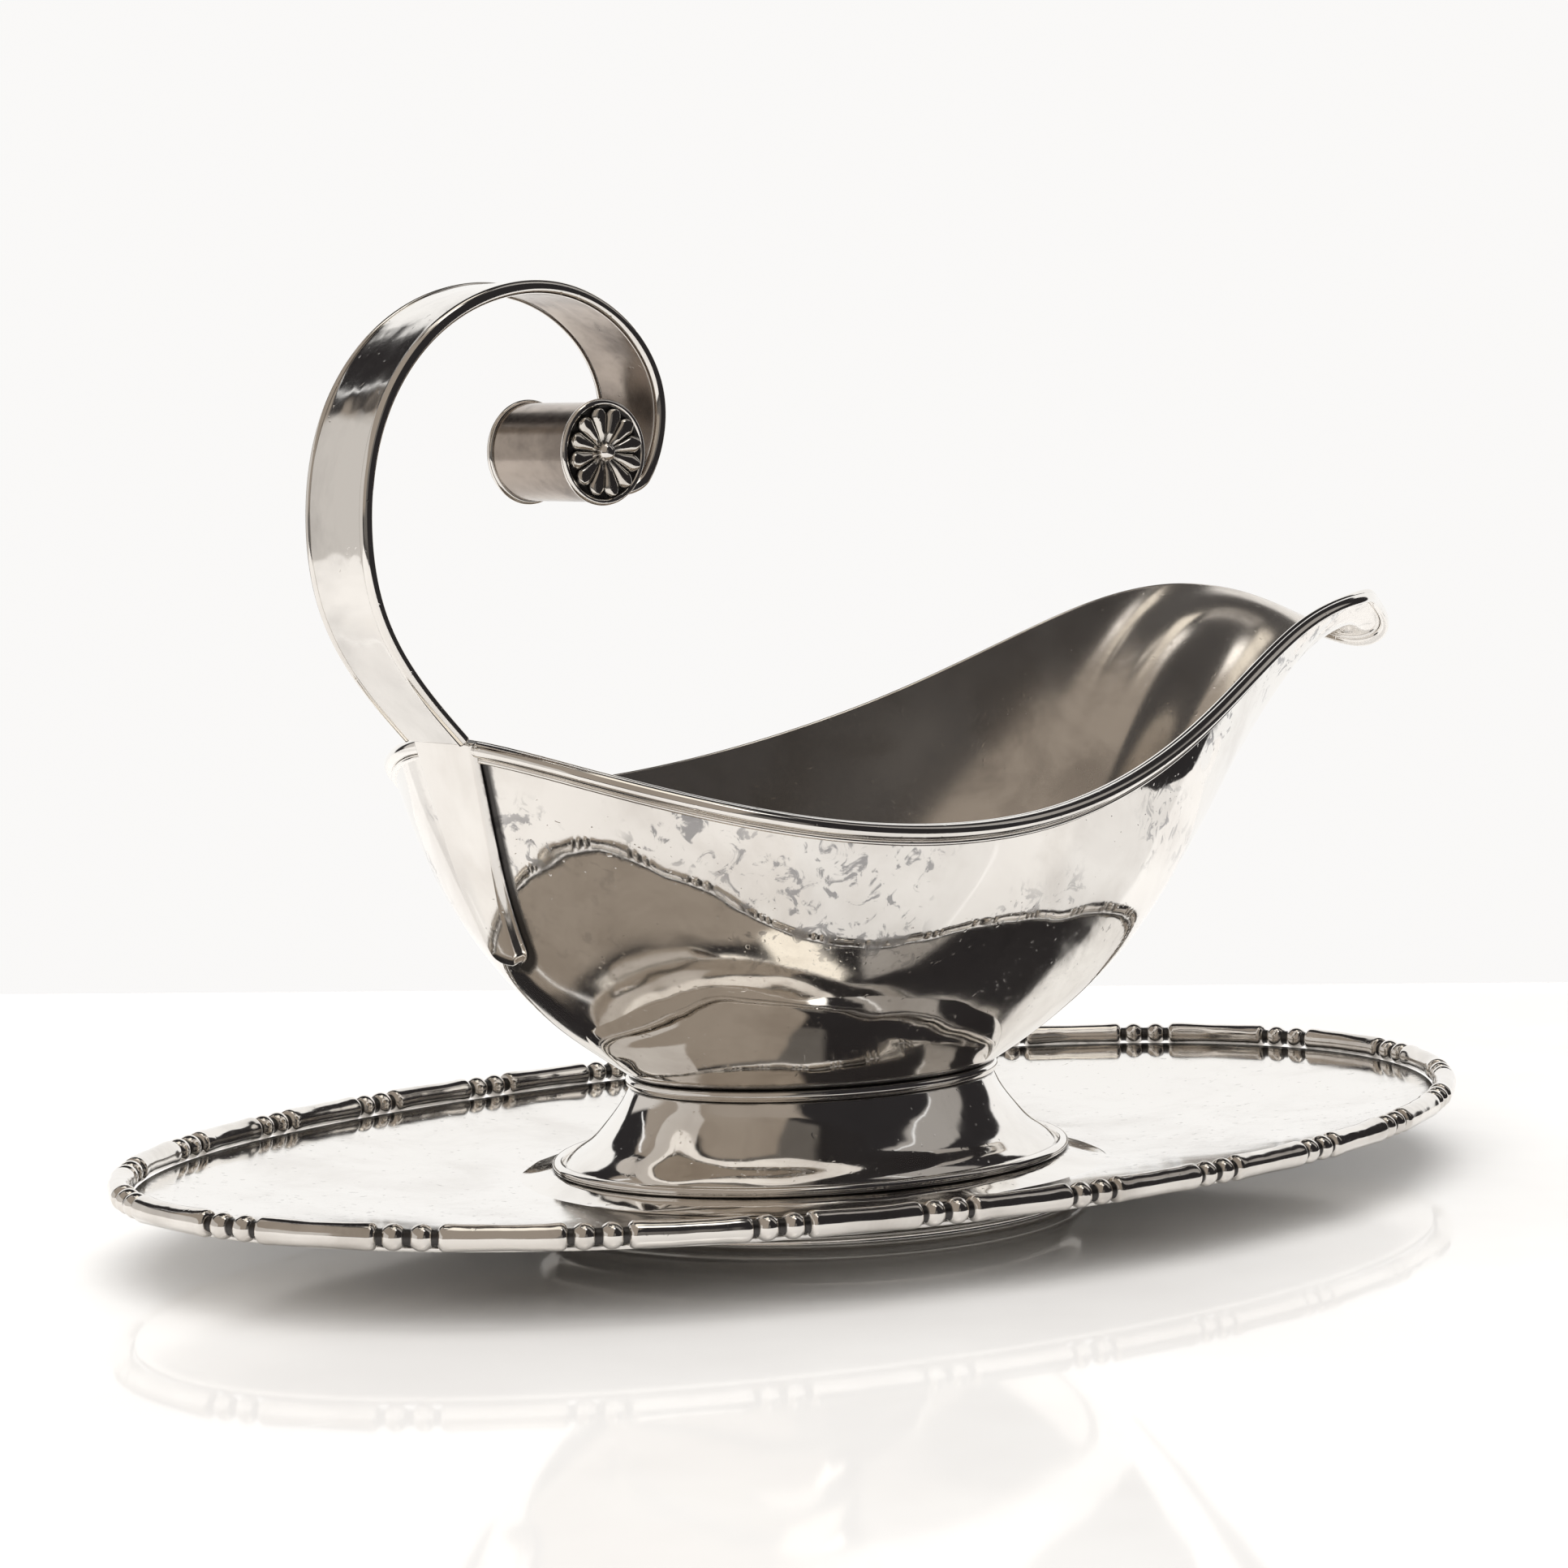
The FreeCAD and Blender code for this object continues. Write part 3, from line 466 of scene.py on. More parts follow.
def build_foot():
    rows, tints = foot_wall()
    centre = np.array([FOOT_CENTRE_X, 0, 0])
    shrink = np.array([1 - SHEET / NECK_A, 1 - SHEET / NECK_B, 1])
    for ring in (rows[-1], rows[len(rows) // 2], rows[0]):
        rows.append(centre + (ring - centre) * shrink)
        tints.append(np.zeros(len(ring)))
    builder = Builder()
    builder.grid(np.array(rows), np.array(tints), wrap_rows=True, wrap_columns=True, flip=True)
    place(builder.finish("foot_visual"), "polished_silver", "foot_collet")

    bow = [math.pi * i / 12 - math.pi / 2 for i in range(13)]
    section = [(NECK_WIRE_PROUD * math.cos(t) ** 0.8 if math.cos(t) > 0 else 0.0,
                NECK_WIRE / 2 * (math.sin(t) - 1)) for t in bow]
    section += [(-NECK_WIRE_INSET, 0.0), (-NECK_WIRE_INSET, -NECK_WIRE)]
    place(oval_sweep("neck_wire", NECK_A, NECK_B, NECK_Z, section), "polished_silver",
          "neck_ring")
    middle = SEAT_Z + LIP_WIRE / 2
    section = [(LIP_WIRE_PROUD * math.cos(t), LIP_WIRE / 2 * math.sin(t)) for t in bow]
    section += [(-LIP_WIRE_INSET, LIP_WIRE / 2), (-LIP_WIRE_INSET, -LIP_WIRE / 2)]
    place(oval_sweep("foot_wire", LIP_A, LIP_B, middle, section), "polished_silver",
          "foot_lip_wire")


def build_seat():
    turn = full_turn(480)
    low = TRAY_FLOOR_Z - SEAT_SUNK
    rows, tints = [], []
    for s in np.linspace(0, 1, 26):
        a = SEAT_A + (LIP_A + SEAT_SHOW - SEAT_A) * s
        b = SEAT_B + (LIP_B + SEAT_SHOW - SEAT_B) * s
        ring = oval_ring(a, b, low + (SEAT_Z - low) * (0.35 * s + 0.65 * s * s), turn)
        ring[:, 2] += wave(ring, 6.0, 0.07 * min(1, 5 * s), 7)
        rows.append(ring)
        tints.append(np.full(len(turn), max(0.0, (s - 0.88) * 6)))
    for z in (SEAT_Z, low):
        rows.append(oval_ring(LIP_A - SEAT_INSET, LIP_B - SEAT_INSET, z, turn))
        tints.append(np.zeros(len(turn)))
    builder = Builder()
    builder.grid(np.array(rows), np.array(tints), wrap_rows=True, wrap_columns=True)
    place(builder.finish("seat_visual"), "polished_silver", "tray_seat_collar")


def build_tray():
    around = 720
    turn = full_turn(around)
    a, b = BORDER_A - BAR_R + TRAY_LAP, BORDER_B - BAR_R + TRAY_LAP
    edge_z = BORDER_Z - TRAY_EDGE_DROP

    def ring(share, lift, seed):
        rise = max(0.0, share - TRAY_FLAT) / (1 - TRAY_FLAT)
        z = TRAY_FLOOR_Z + (edge_z - TRAY_FLOOR_Z) * rise ** TRAY_RISE
        z = z + BORDER_BOW * np.cos(turn) ** 2 * rise * rise + lift
        points = np.stack([TRAY_CENTRE_X + a * share * np.cos(turn), b * share * np.sin(turn),
                           z], -1)
        ease = min(1.0, (1 - share) * 12)
        rough = wave(points, 12.0, 0.05, seed) + wave(points, 34.0, 0.10, seed + 1)
        points[:, 2] += ease * rough
        return points

    shares = np.linspace(0.08, 1.0, 90)
    rows = [ring(s, 0.0, 8) for s in shares]
    rows += [ring(s, -TRAY_T, 10) for s in shares[::-1]]
    darkening = [np.full(around, max(0.0, (s - 0.965) * 22)) for s in shares]
    darkening += [np.full(around, 0.15)] * len(shares)
    builder = Builder()
    builder.grid(np.array(rows), np.array(darkening), wrap_columns=True, cap_first=True,
                 cap_last=True)
    place(builder.finish("tray_visual"), "hammered_silver", "tray_plate")


def build_stand_foot():
    base = 2 * STAND_WIRE_R
    outside = []
    for s in np.linspace(0, 1, 14):
        grow = STAND_FOOT_FLARE * ((1 - s) ** 1.6 - 1)
        outside.append((grow, base + (TRAY_FLOOR_Z - TRAY_T - base) * s))
    section = outside + [(grow - STAND_FOOT_T, z) for grow, z in outside[::-1]]
    place(oval_sweep("stand_foot", STAND_FOOT_A, STAND_FOOT_B, 0.0, section),
          "polished_silver", "tray_foot_ring")
    outside = []
    for t in np.linspace(-math.pi / 2, math.pi / 2, 9):
        grow = STAND_WIRE_FLAT + (STAND_WIRE_R - STAND_WIRE_FLAT) * math.cos(t)
        outside.append((grow, STAND_WIRE_R * (1 + math.sin(t))))
    section = outside + [(-grow, z) for grow, z in outside[::-1]]
    a, b = STAND_FOOT_A - STAND_WIRE_INSET, STAND_FOOT_B - STAND_WIRE_INSET
    place(oval_sweep("stand_foot_wire", a, b, 0.0, section), "polished_silver",
          "tray_foot_wire")


# ---------------------------------------------------------------- border
def border_radius(s, pitch):
    """Radius of the pattern wire at lengths from the middle of a bead pair.

    Also gives each place's distance from the nearest pair and half the length of a pair.
    """
    s = np.abs((s + pitch / 2) % pitch - pitch / 2)
    half = BEAD_PITCH + GROOVE_WIDTH / 2
    beads = np.abs(s - BEAD_PITCH / 2)
    bead_half = (BEAD_PITCH - GROOVE_WIDTH) / 2
    ball = np.sqrt(np.maximum(BEAD_R ** 2 - (beads * BEAD_R / (bead_half + 0.25)) ** 2, 0.0))
    in_bar = np.maximum(s - half, 0.0)
    far = (pitch - 2 * half) / 2
    end = np.sqrt(1 - np.clip(1 - in_bar / BAR_SWELL, 0, 1) ** 2)
    swell = 1.0 + 0.035 * np.exp(-((in_bar - 1.3) / 1.4) ** 2)
    waist = 0.955 + 0.02 * np.cos(np.pi * np.clip(in_bar / far, 0, 1))
    bar = GROOVE_R + (BAR_R * swell * waist - GROOVE_R) * end
    return np.where(s < half, np.maximum(ball, GROOVE_R), np.maximum(bar, GROOVE_R)), s, half


def build_border():
    fine = np.linspace(0, 2 * math.pi, 7201)
    line = border_point(fine)
    length = np.concatenate([[0], np.cumsum(np.linalg.norm(np.diff(line, axis=0), axis=1))])
    total = length[-1]
    pitch = total / BEAD_GROUPS
    turn = full_turn(28)
    circle = np.stack([np.cos(turn), np.sin(turn)], -1)
    per_length = BEAD_GROUPS // BORDER_LENGTHS
    for index in range(BORDER_LENGTHS):
        start = BORDER_PHASE * total + index * per_length * pitch - BEAD_PITCH - GROOVE_WIDTH / 2
        stop = start + per_length * pitch - BORDER_BUTT
        at = np.linspace(start, stop, 1400)
        where = np.interp(at % total, length, fine)
        here = border_point(where)
        ahead = unit(border_point(where + 1e-4) - border_point(where - 1e-4))
        up = np.broadcast_to(np.array([0, 0, 1.0]), here.shape)
        side_way = unit(np.cross(ahead, up))
        up_way = np.cross(side_way, ahead)
        radius, s, half = border_radius(at - BORDER_PHASE * total, pitch)
        section = circle[None] * radius[:, None, None]
        points = sweep(here, side_way, up_way, section)
        normal = unit(points - here[:, None])
        lumps = wave(points, 4.5, 0.09, 20 + index) * np.clip((s - half) / 2, 0, 1)[:, None]
        points = points + normal * lumps[..., None]
        groove = np.clip((1.48 - radius) / 0.36, 0, 1)
        near_bead = np.clip((half + 0.8 - s) / 0.8, 0, 1) * 0.18
        tint = np.broadcast_to(np.maximum(groove, near_bead)[:, None], points.shape[:2]).copy()
        inward, below = np.moveaxis(-section / BAR_R, -1, 0)
        corner = np.clip(inward, 0, 1) * np.clip(below + 0.35, 0, 1)
        tint = np.maximum(tint, corner * 0.6)
        builder = Builder()
        builder.grid(points, tint, wrap_columns=True, flip=True, cap_first=True, cap_last=True)
        place(builder.finish("border_%d" % (index + 1)), "pattern_silver",
              "border_wire_%d" % (index + 1))


# ---------------------------------------------------------------- handle
def strap_on_tube(here):
    """Draws the filed-down end of the strap against the tube; also gives its thinning."""
    left = np.linspace(1, 0, len(here)) * len(here) * np.linalg.norm(here[1] - here[0])
    ease = np.clip(1 - left / STRAP_FEATHER, 0, 1)
    ease = ease * ease * (3 - 2 * ease)
    axis = np.array([TUBE_X, 0, TUBE_Z])
    reach = np.linalg.norm(here - axis, axis=1)
    wanted = reach + (TUBE_R + STRAP_SEAT - reach) * ease
    return axis + (here - axis) * (wanted / reach)[:, None], 1 - STRAP_END_THIN * ease


def thinned(section, thin):
    """One copy of a section for each frame, its thickness scaled."""
    many = np.repeat(np.array(section)[None], len(thin), axis=0)
    many[..., 1] *= thin[:, None]
    return many


def build_strap():
    here, out = strap_frames(620)
    here, thin = strap_on_tube(here)
    side_way = np.broadcast_to(np.array([0, 1.0, 0]), here.shape)
    half = STRAP_W / 2 - EDGE_WIRE_R + 0.05
    across = np.linspace(-half, half, STRAP_ACROSS)
    outer_face = np.stack([across, np.full(STRAP_ACROSS, STRAP_T / 2)], -1)
    inner_face = outer_face[::-1] * [1, -1]
    section = np.concatenate([outer_face, inner_face])
    points = sweep(here, side_way, out, thinned(section, thin))
    ease = np.clip((half - np.abs(section[:, 0])) / 1.0, 0, 1)[None] * thin[:, None]
    rough = (wave(points, 5.0, 0.075, 30) + wave(points, 14.0, 0.12, 31)) * ease
    points = points + out[:, None] * rough[..., None]
    inner_dirt = np.repeat([0, 0.30], STRAP_ACROSS)
    edge_dirt = np.clip((np.abs(section[:, 0]) - half + 0.55) / 0.4, 0, 1) * 0.55
    tint = np.broadcast_to(np.maximum(edge_dirt, inner_dirt)[None], points.shape[:2])
    builder = Builder()
    builder.grid(points, tint, wrap_columns=True, cap_first=True, cap_last=True)
    place(builder.finish("strap_visual"), "hammered_silver", "handle_strap")
    for name, sign in (("left", 1), ("right", -1)):
        r = EDGE_WIRE_R
        bow = np.linspace(-math.pi / 2, math.pi / 2, 17)
        section = [(sign * (STRAP_W / 2 - r + r * math.cos(t)), 1.08 * r * math.sin(t))
                   for t in bow]
        section += [(sign * (STRAP_W / 2 - 1.45 * r), 0.9 * r),
                    (sign * (STRAP_W / 2 - 1.45 * r), -0.9 * r)]
        builder = Builder()
        builder.grid(sweep(here, side_way, out, thinned(section, thin)),
                     wrap_columns=True, flip=sign > 0, cap_first=True, cap_last=True)
        place(builder.finish("strap_wire_" + name), "polished_silver",
              "handle_edge_wire_" + name)


def build_tongue():
    rows, across = 150, 61
    down = np.linspace(-0.03, 1, rows)
    height = TONGUE_FROM + (TONGUE_TO - TONGUE_FROM) * down
    half = tongue_half_width(np.maximum(down, 0))
    reach = 0.5 - tongue_share(np.minimum(height, 1.0), half)
    grow = np.linspace(-1, 1, across)
    share = 0.5 + reach[:, None] * grow[None]
    here, out, up = bowl_frame(share, np.broadcast_to(height[:, None], share.shape))
    full = TONGUE_T + (TONGUE_END_T - TONGUE_T) * down ** 2
    past = np.clip((down - TONGUE_ROUND) / (1 - TONGUE_ROUND), 0, 1)
    dome = np.sqrt(np.maximum(1 - past ** 2, 0.0))
    bevel_mm = 0.55 + 1.0 * np.clip(down, 0, 1) ** 1.5
    inside = (1 - np.abs(grow))[None] * half[:, None]
    bevel = np.clip(inside / bevel_mm[:, None], 0, 1)
    bevel = bevel * bevel * (3 - 2 * bevel) * dome[:, None]
    lift = TONGUE_EDGE + (full[:, None] - TONGUE_EDGE) * bevel
    lift += wave(here, 11.0, 0.05, 40) * bevel
    face = here + out * lift[..., None]
    back = here - out * 0.15
    builder = Builder()
    edge_tint = np.clip((0.5 - inside) / 0.5, 0, 1) * 0.5
    ring = np.concatenate([face, back[:, ::-1]], axis=1)
    tint = np.concatenate([np.broadcast_to(edge_tint, face.shape[:2]),
                           np.ones(back.shape[:2])], axis=1)
    builder.grid(ring, tint, wrap_columns=True, cap_first=True, cap_last=True)
    place(builder.finish("tongue_visual"), "polished_silver", "handle_tongue")


def solid_from(profile, y, sign, count, builder, tint=0.0):
    """Adds a turned solid on the scroll's cross axis; the profile ends near the axis."""
    grid = lathe(profile, (TUBE_X, y, TUBE_Z), (0, sign, 0), count)
    builder.grid(grid, np.full(grid.shape[:2], tint), wrap_columns=True, flip=sign > 0,
                 cap_first=True, cap_last=True)


def build_tube():
    """Cross tube of the scroll with its vent hole drilled through."""
    middle = (TUBE_X, 0, TUBE_Z)
    body = Builder()
    profile = [(TUBE_R, y) for y in np.linspace(-TUBE_HALF, TUBE_HALF, 40)]
    profile += [(TUBE_R - TUBE_WALL, TUBE_HALF), (TUBE_R - TUBE_WALL, -TUBE_HALF)]
    grid = lathe(profile, middle, (0, 1, 0), 160)
    body.grid(grid, np.full(grid.shape[:2], 0.25), wrap_rows=True, wrap_columns=True, flip=True)
    tube = body.finish("tube_visual")
    drill = Builder()
    grid = lathe([(VENT_R, 4.0), (VENT_R, 9.0)], middle, unit(np.array(VENT_WAY)), 24)
    drill.grid(grid, np.ones(grid.shape[:2]), wrap_columns=True, flip=True, cap_first=True,
               cap_last=True)
    cutter = drill.finish("vent_cutter")
    cut = tube.modifiers.new("vent", "BOOLEAN")
    cut.operation, cut.object, cut.solver = "DIFFERENCE", cutter, "EXACT"
    drilled = tube.evaluated_get(bpy.context.evaluated_depsgraph_get())
    mesh = bpy.data.meshes.new_from_object(drilled)
    tube.modifiers.clear()
    tube.data = mesh
    bpy.data.objects.remove(cutter)
    place(tube, "tarnished_silver", "scroll_tube")


def build_cap(name, sign, face):
    """End disc of the tube: a plain rounded edge round a sunk floor."""
    cap = Builder()
    edge = [(TUBE_R, -CAP_T), (TUBE_R, -0.12), (TUBE_R - 0.05, -0.03), (TUBE_R - 0.3, 0.0),
            (TUBE_R - 0.7, -CAP_SUNK)]
    floor = [(r, -CAP_SUNK) for r in np.linspace(TUBE_R - 0.9, 0.3, 12)]
    solid_from([(0.3, -CAP_T)] + edge + floor, sign * face, sign, 120, cap, 0.9)
    place(cap.finish("cap_" + name), "tarnished_silver", "scroll_cap_" + name)


def build_collar(name, sign, face):
    bow = np.linspace(-math.pi / 2, math.pi / 2, 11)
    ring = [(TUBE_R + COLLAR_R * math.cos(t), -CAP_T / 2 + COLLAR_R * math.sin(t)) for t in bow]
    ring += [(TUBE_R - 0.4, 0.02), (TUBE_R - 0.4, -CAP_T - 0.02)]
    collar = Builder()
    grid = lathe(ring, (TUBE_X, sign * face, TUBE_Z), (0, sign, 0), 160)
    collar.grid(grid, wrap_rows=True, wrap_columns=True, flip=sign > 0)
    place(collar.finish("collar_" + name), "polished_silver", "cap_collar_" + name)


def build_petals(name, sign, face):
    """Ring of convex petals, dark towards the boss and in the grooves between them."""
    along = np.linspace(PETAL_FROM + 0.3, PETAL_TO, 16)
    round_end = PETAL_TO + PETAL_END_R * np.sin(np.linspace(0, 1.5, 12)[1:])
    u = np.concatenate([along, round_end])
    share = (u - PETAL_FROM) / (PETAL_TO - PETAL_FROM)
    over = np.maximum(u - PETAL_TO, 0) / PETAL_END_R
    wide = PETAL_ROOT_R + (PETAL_END_R - PETAL_ROOT_R) * np.minimum(share, 1)
    wide = wide * np.sqrt(np.maximum(1 - over ** 2, 0.003))
    high = np.minimum(0.55 + 0.55 * share, 1.05) * np.minimum(1, wide / 0.75)
    t = full_turn(24)
    side = np.cos(t)[None] * wide[:, None] * 1.02
    rise = np.maximum(np.sin(t)[None] * high[:, None], -0.1)
    tint = np.clip(1.0 - 1.25 * rise / high[:, None], 0, 1)
    tint = np.maximum(tint, np.clip(0.75 - share, 0, 1)[:, None] * 0.9)
    middle = np.array([TUBE_X, sign * (face - 0.22), TUBE_Z])
    lift_way = np.array([0, float(sign), 0])
    petals = Builder()
    for i in range(PETALS):
        turn = math.radians(PETAL_TURN + 360.0 * i / PETALS)
        way = np.array([math.sin(turn), 0, math.cos(turn)])
        side_way = np.array([math.cos(turn), 0, -math.sin(turn)])
        line = middle + way * u[:, None]
        points = line[:, None] + side_way * side[..., None] + lift_way * rise[..., None]
        petals.grid(points, tint, wrap_columns=True, flip=sign < 0, cap_first=True,
                    cap_last=True)
    place(petals.finish("rosette_" + name), "tarnished_silver", "cap_rosette_" + name)


def build_boss(name, sign, face):
    arc = np.linspace(0, math.pi / 2 - 0.04, 14)
    dome = [(BOSS_R * math.cos(t), BOSS_LIFT + (BOSS_R - 0.02) * math.sin(t)) for t in arc]
    boss = Builder()
    solid_from([(BOSS_R, -0.5)] + dome, sign * face, sign, 64, boss)
    place(boss.finish("boss_" + name), "polished_silver", "rosette_boss_" + name)


def build_scroll():
    build_tube()
    for name, sign in (("left", 1), ("right", -1)):
        for build in (build_cap, build_collar, build_petals, build_boss):
            build(name, sign, TUBE_HALF + CAP_T)


# ---------------------------------------------------------------- materials
class Nodes:
    """Short way to add nodes and links to one node tree."""

    def __init__(self, tree):
        self.tree = tree

    def add(self, kind, **settings):
        node = self.tree.nodes.new(kind)
        inputs = settings.pop("inputs", {})
        for key, value in settings.items():
            setattr(node, key, value)
        for key, value in inputs.items():
            socket = node.inputs[key]
            if isinstance(value, bpy.types.NodeSocket):
                self.tree.links.new(value, socket)
            else:
                socket.default_value = value
        return node

    def math(self, operation, a, b=0.0, clamp=False):
        node = self.add("ShaderNodeMath", operation=operation, use_clamp=clamp,
                        inputs={0: a, 1: b})
        return node.outputs[0]

    def ramp(self, value, low, high):
        """0 below low, 1 above high, smooth between."""
        node = self.add("ShaderNodeMapRange", interpolation_type="SMOOTHSTEP",
                        inputs={"Value": value, "From Min": low, "From Max": high})
        return node.outputs[0]

    def mix(self, factor, a, b):
        node = self.add("ShaderNodeMix", data_type="RGBA")
        for socket, value in ((node.inputs[0], factor), (node.inputs[6], a), (node.inputs[7], b)):
            if isinstance(value, bpy.types.NodeSocket):
                self.tree.links.new(value, socket)
            else:
                socket.default_value = value
        return node.outputs[2]

    def noise(self, where, scale, detail=2.0, rough=0.5, distort=0.0):
        node = self.add("ShaderNodeTexNoise", inputs={
            "Vector": where, "Scale": scale, "Detail": detail, "Roughness": rough,
            "Distortion": distort})
        return node.outputs[0]

    def bump(self, height, depth_mm, normal=None):
        inputs = {"Height": height, "Distance": depth_mm * MM, "Strength": 1.0}
        if normal is not None:
            inputs["Normal"] = normal
        return self.add("ShaderNodeBump", inputs=inputs).outputs[0]


SPOT_GREY = (0.34, 0.335, 0.34, 1)
OXIDE_AND_PAINTED_REFLECTION_BLACK = (0.022, 0.020, 0.021, 1)


def silver(name, colour, dull, rough_low, rough_high, facets_mm, facet_depth, tarnish, spots,
           metal=1.0):
    """Polished silver with hammer marks, faint scratches, tarnish and dark recesses.

    colour and dull are its bright and tarnished colours, tarnish how much of the second shows,
    facets_mm the size of the hammer marks, and spots how strong the mottled patches are.
    """
    material = bpy.data.materials.new(name)
    material.use_nodes = True
    tree = material.node_tree
    tree.nodes.clear()
    n = Nodes(tree)
    where = n.add("ShaderNodeTexCoord").outputs["Object"]
    recess = n.add("ShaderNodeAttribute", attribute_name="recess").outputs["Fac"]
    mottle = n.add("ShaderNodeAttribute", attribute_name="mottle").outputs["Fac"]

    cloud = n.noise(where, 55.0, 5.0, 0.6, 0.4)
    film = n.ramp(cloud, 0.42, 0.72)
    grain = n.noise(where, 1500.0, 3.0, 0.7)
    blotch = n.noise(where, 330.0, 6.0, 0.62, 0.9)
    region = n.noise(where, 38.0, 1.0, 0.5)
    base = n.mix(n.math("MULTIPLY", film, tarnish), colour + (1,), dull + (1,))
    spot = n.math("MULTIPLY", n.ramp(blotch, 0.53, 0.61), n.ramp(region, 0.44, 0.56))
    spot = n.math("MULTIPLY", spot, mottle)
    base = n.mix(n.math("MULTIPLY", spot, spots), base, SPOT_GREY)

    # Darkening where the recess attribute says, in ragged patches; beside the tongue it is partly
    # a painted reflection of the tongue's side.
    ragged = n.math("ADD", recess, n.math("MULTIPLY", n.math("SUBTRACT", blotch, 0.5), 0.9))
    darkening = n.math("MULTIPLY", n.ramp(ragged, 0.30, 0.62), n.ramp(recess, 0.05, 0.35))
    dark = n.math("MULTIPLY", darkening, n.math("MULTIPLY", recess, 1.25, True), True)
    base = n.mix(n.math("MULTIPLY", dark, 0.93), base, OXIDE_AND_PAINTED_REFLECTION_BLACK)

    rough = n.add("ShaderNodeMapRange", inputs={
        "Value": n.math("ADD", n.math("MULTIPLY", cloud, 0.7), n.math("MULTIPLY", grain, 0.3)),
        "From Min": 0.3, "From Max": 0.75, "To Min": rough_low, "To Max": rough_high}).outputs[0]
    rough = n.math("ADD", rough, n.math("MULTIPLY", dark, 0.30))
    rough = n.math("ADD", rough, n.math("MULTIPLY", spot, 0.12 * spots))

    cells = n.add("ShaderNodeTexVoronoi", feature="SMOOTH_F1", inputs={
        "Vector": where, "Scale": 1000.0 / facets_mm, "Smoothness": 0.35}).outputs["Distance"]
    normal = n.bump(cells, facet_depth)
    stretch = n.add("ShaderNodeMapping", inputs={
        "Vector": where, "Rotation": (0.4, 0.2, 0.7), "Scale": (1.0, 18.0, 9.0)}).outputs[0]
    scratch = n.ramp(n.noise(stretch, 130.0, 3.0, 0.8), 0.66, 0.72)
    normal = n.bump(scratch, -0.0016, normal)
    normal = n.bump(grain, 0.0012, normal)
    pits = n.ramp(n.noise(where, 900.0, 1.0, 0.5), 0.70, 0.78)
    normal = n.bump(pits, -0.012, normal)

    shader = n.add("ShaderNodeBsdfPrincipled", inputs={
        "Base Color": base, "Metallic": metal, "Roughness": rough, "Normal": normal})
    out = n.add("ShaderNodeOutputMaterial")
    tree.links.new(shader.outputs[0], out.inputs["Surface"])
    return material


def give(piece, material):
    """Makes a material the only one of a piece."""
    piece.data.materials.clear()
    piece.data.materials.append(material)


def give_inside(piece, material, is_inside):
    """Adds a second material to the faces that is_inside picks by their vertices' numbers."""
    piece.data.materials.append(material)
    for face in piece.data.polygons:
        if is_inside(face.vertices):
            face.material_index = 1


def finish_materials():
    clean, warm = (0.90, 0.875, 0.84), (0.66, 0.62, 0.58)
    bowl = silver("silver_hammered_bowl", clean, warm, 0.02, 0.07, 4.2, 0.014, 0.55, 0.9)
    strap = silver("silver_hammered_strap", clean, (0.62, 0.60, 0.58), 0.05, 0.16, 2.6, 0.020,
                   0.6, 0.25)
    tray = silver("silver_tray", (0.91, 0.89, 0.86), warm, 0.04, 0.15, 5.5, 0.010, 0.35, 0.0)
    plain = silver("silver_polished", clean, warm, 0.04, 0.12, 6.0, 0.008, 0.35, 0.0)
    foot = silver("silver_foot", clean, warm, 0.03, 0.10, 3.4, 0.016, 0.35, 0.0)
    pattern = silver("silver_pattern", (0.86, 0.83, 0.79), (0.5, 0.46, 0.42), 0.06, 0.17, 2.2,
                     0.018, 0.6, 0.2)
    tube = silver("silver_tarnished", (0.47, 0.41, 0.36), (0.17, 0.145, 0.13), 0.10, 0.30, 3.0,
                  0.010, 0.9, 0.5)
    petals = silver("silver_oxidised", (0.83, 0.80, 0.75), (0.5, 0.46, 0.42), 0.06, 0.16, 2.0,
                    0.006, 0.5, 0.0)
    inside = silver("silver_inside_bowl", (0.74, 0.69, 0.63), (0.46, 0.42, 0.38), 0.13, 0.30, 7.0,
                    0.005, 0.9, 0.0, 0.94)
    chosen = {
        "bowl_visual": bowl, "strap_visual": strap, "tray_visual": tray, "foot_visual": foot,
        "seat_visual": foot, "tongue_visual": plain, "tube_visual": tube,
    }
    for piece in bpy.data.objects:
        if piece.type != "MESH" or piece.get("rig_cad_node"):
            continue
        if piece.name.startswith("border_"):
            give(piece, pattern)
        elif piece.name.startswith(("rosette_", "cap_")):
            give(piece, petals)
        else:
            give(piece, chosen.get(piece.name, plain))
    rings_outside = len(BASE_RING_SHARES) + BOWL_RINGS_UP + BOWL_EDGE_STEPS - 1
    first_inside = BOWL_RING * (rings_outside - 1)
    give_inside(bpy.data.objects["bowl_visual"], inside,
                lambda corners: min(corners) >= first_inside)
    give_inside(bpy.data.objects["strap_visual"], tube,
                lambda corners: min(k % (2 * STRAP_ACROSS) for k in corners) >= STRAP_ACROSS)
    for node in frame["nodes"].values():
        give(node, plain)


# ---------------------------------------------------------------- stage, light and camera
def direction(azimuth, elevation):
    a, e = math.radians(azimuth), math.radians(elevation)
    return (math.cos(a) * math.cos(e), math.sin(a) * math.cos(e), math.sin(e))


BROWN, PALE = (0.34, 0.295, 0.250), (0.62, 0.59, 0.56)
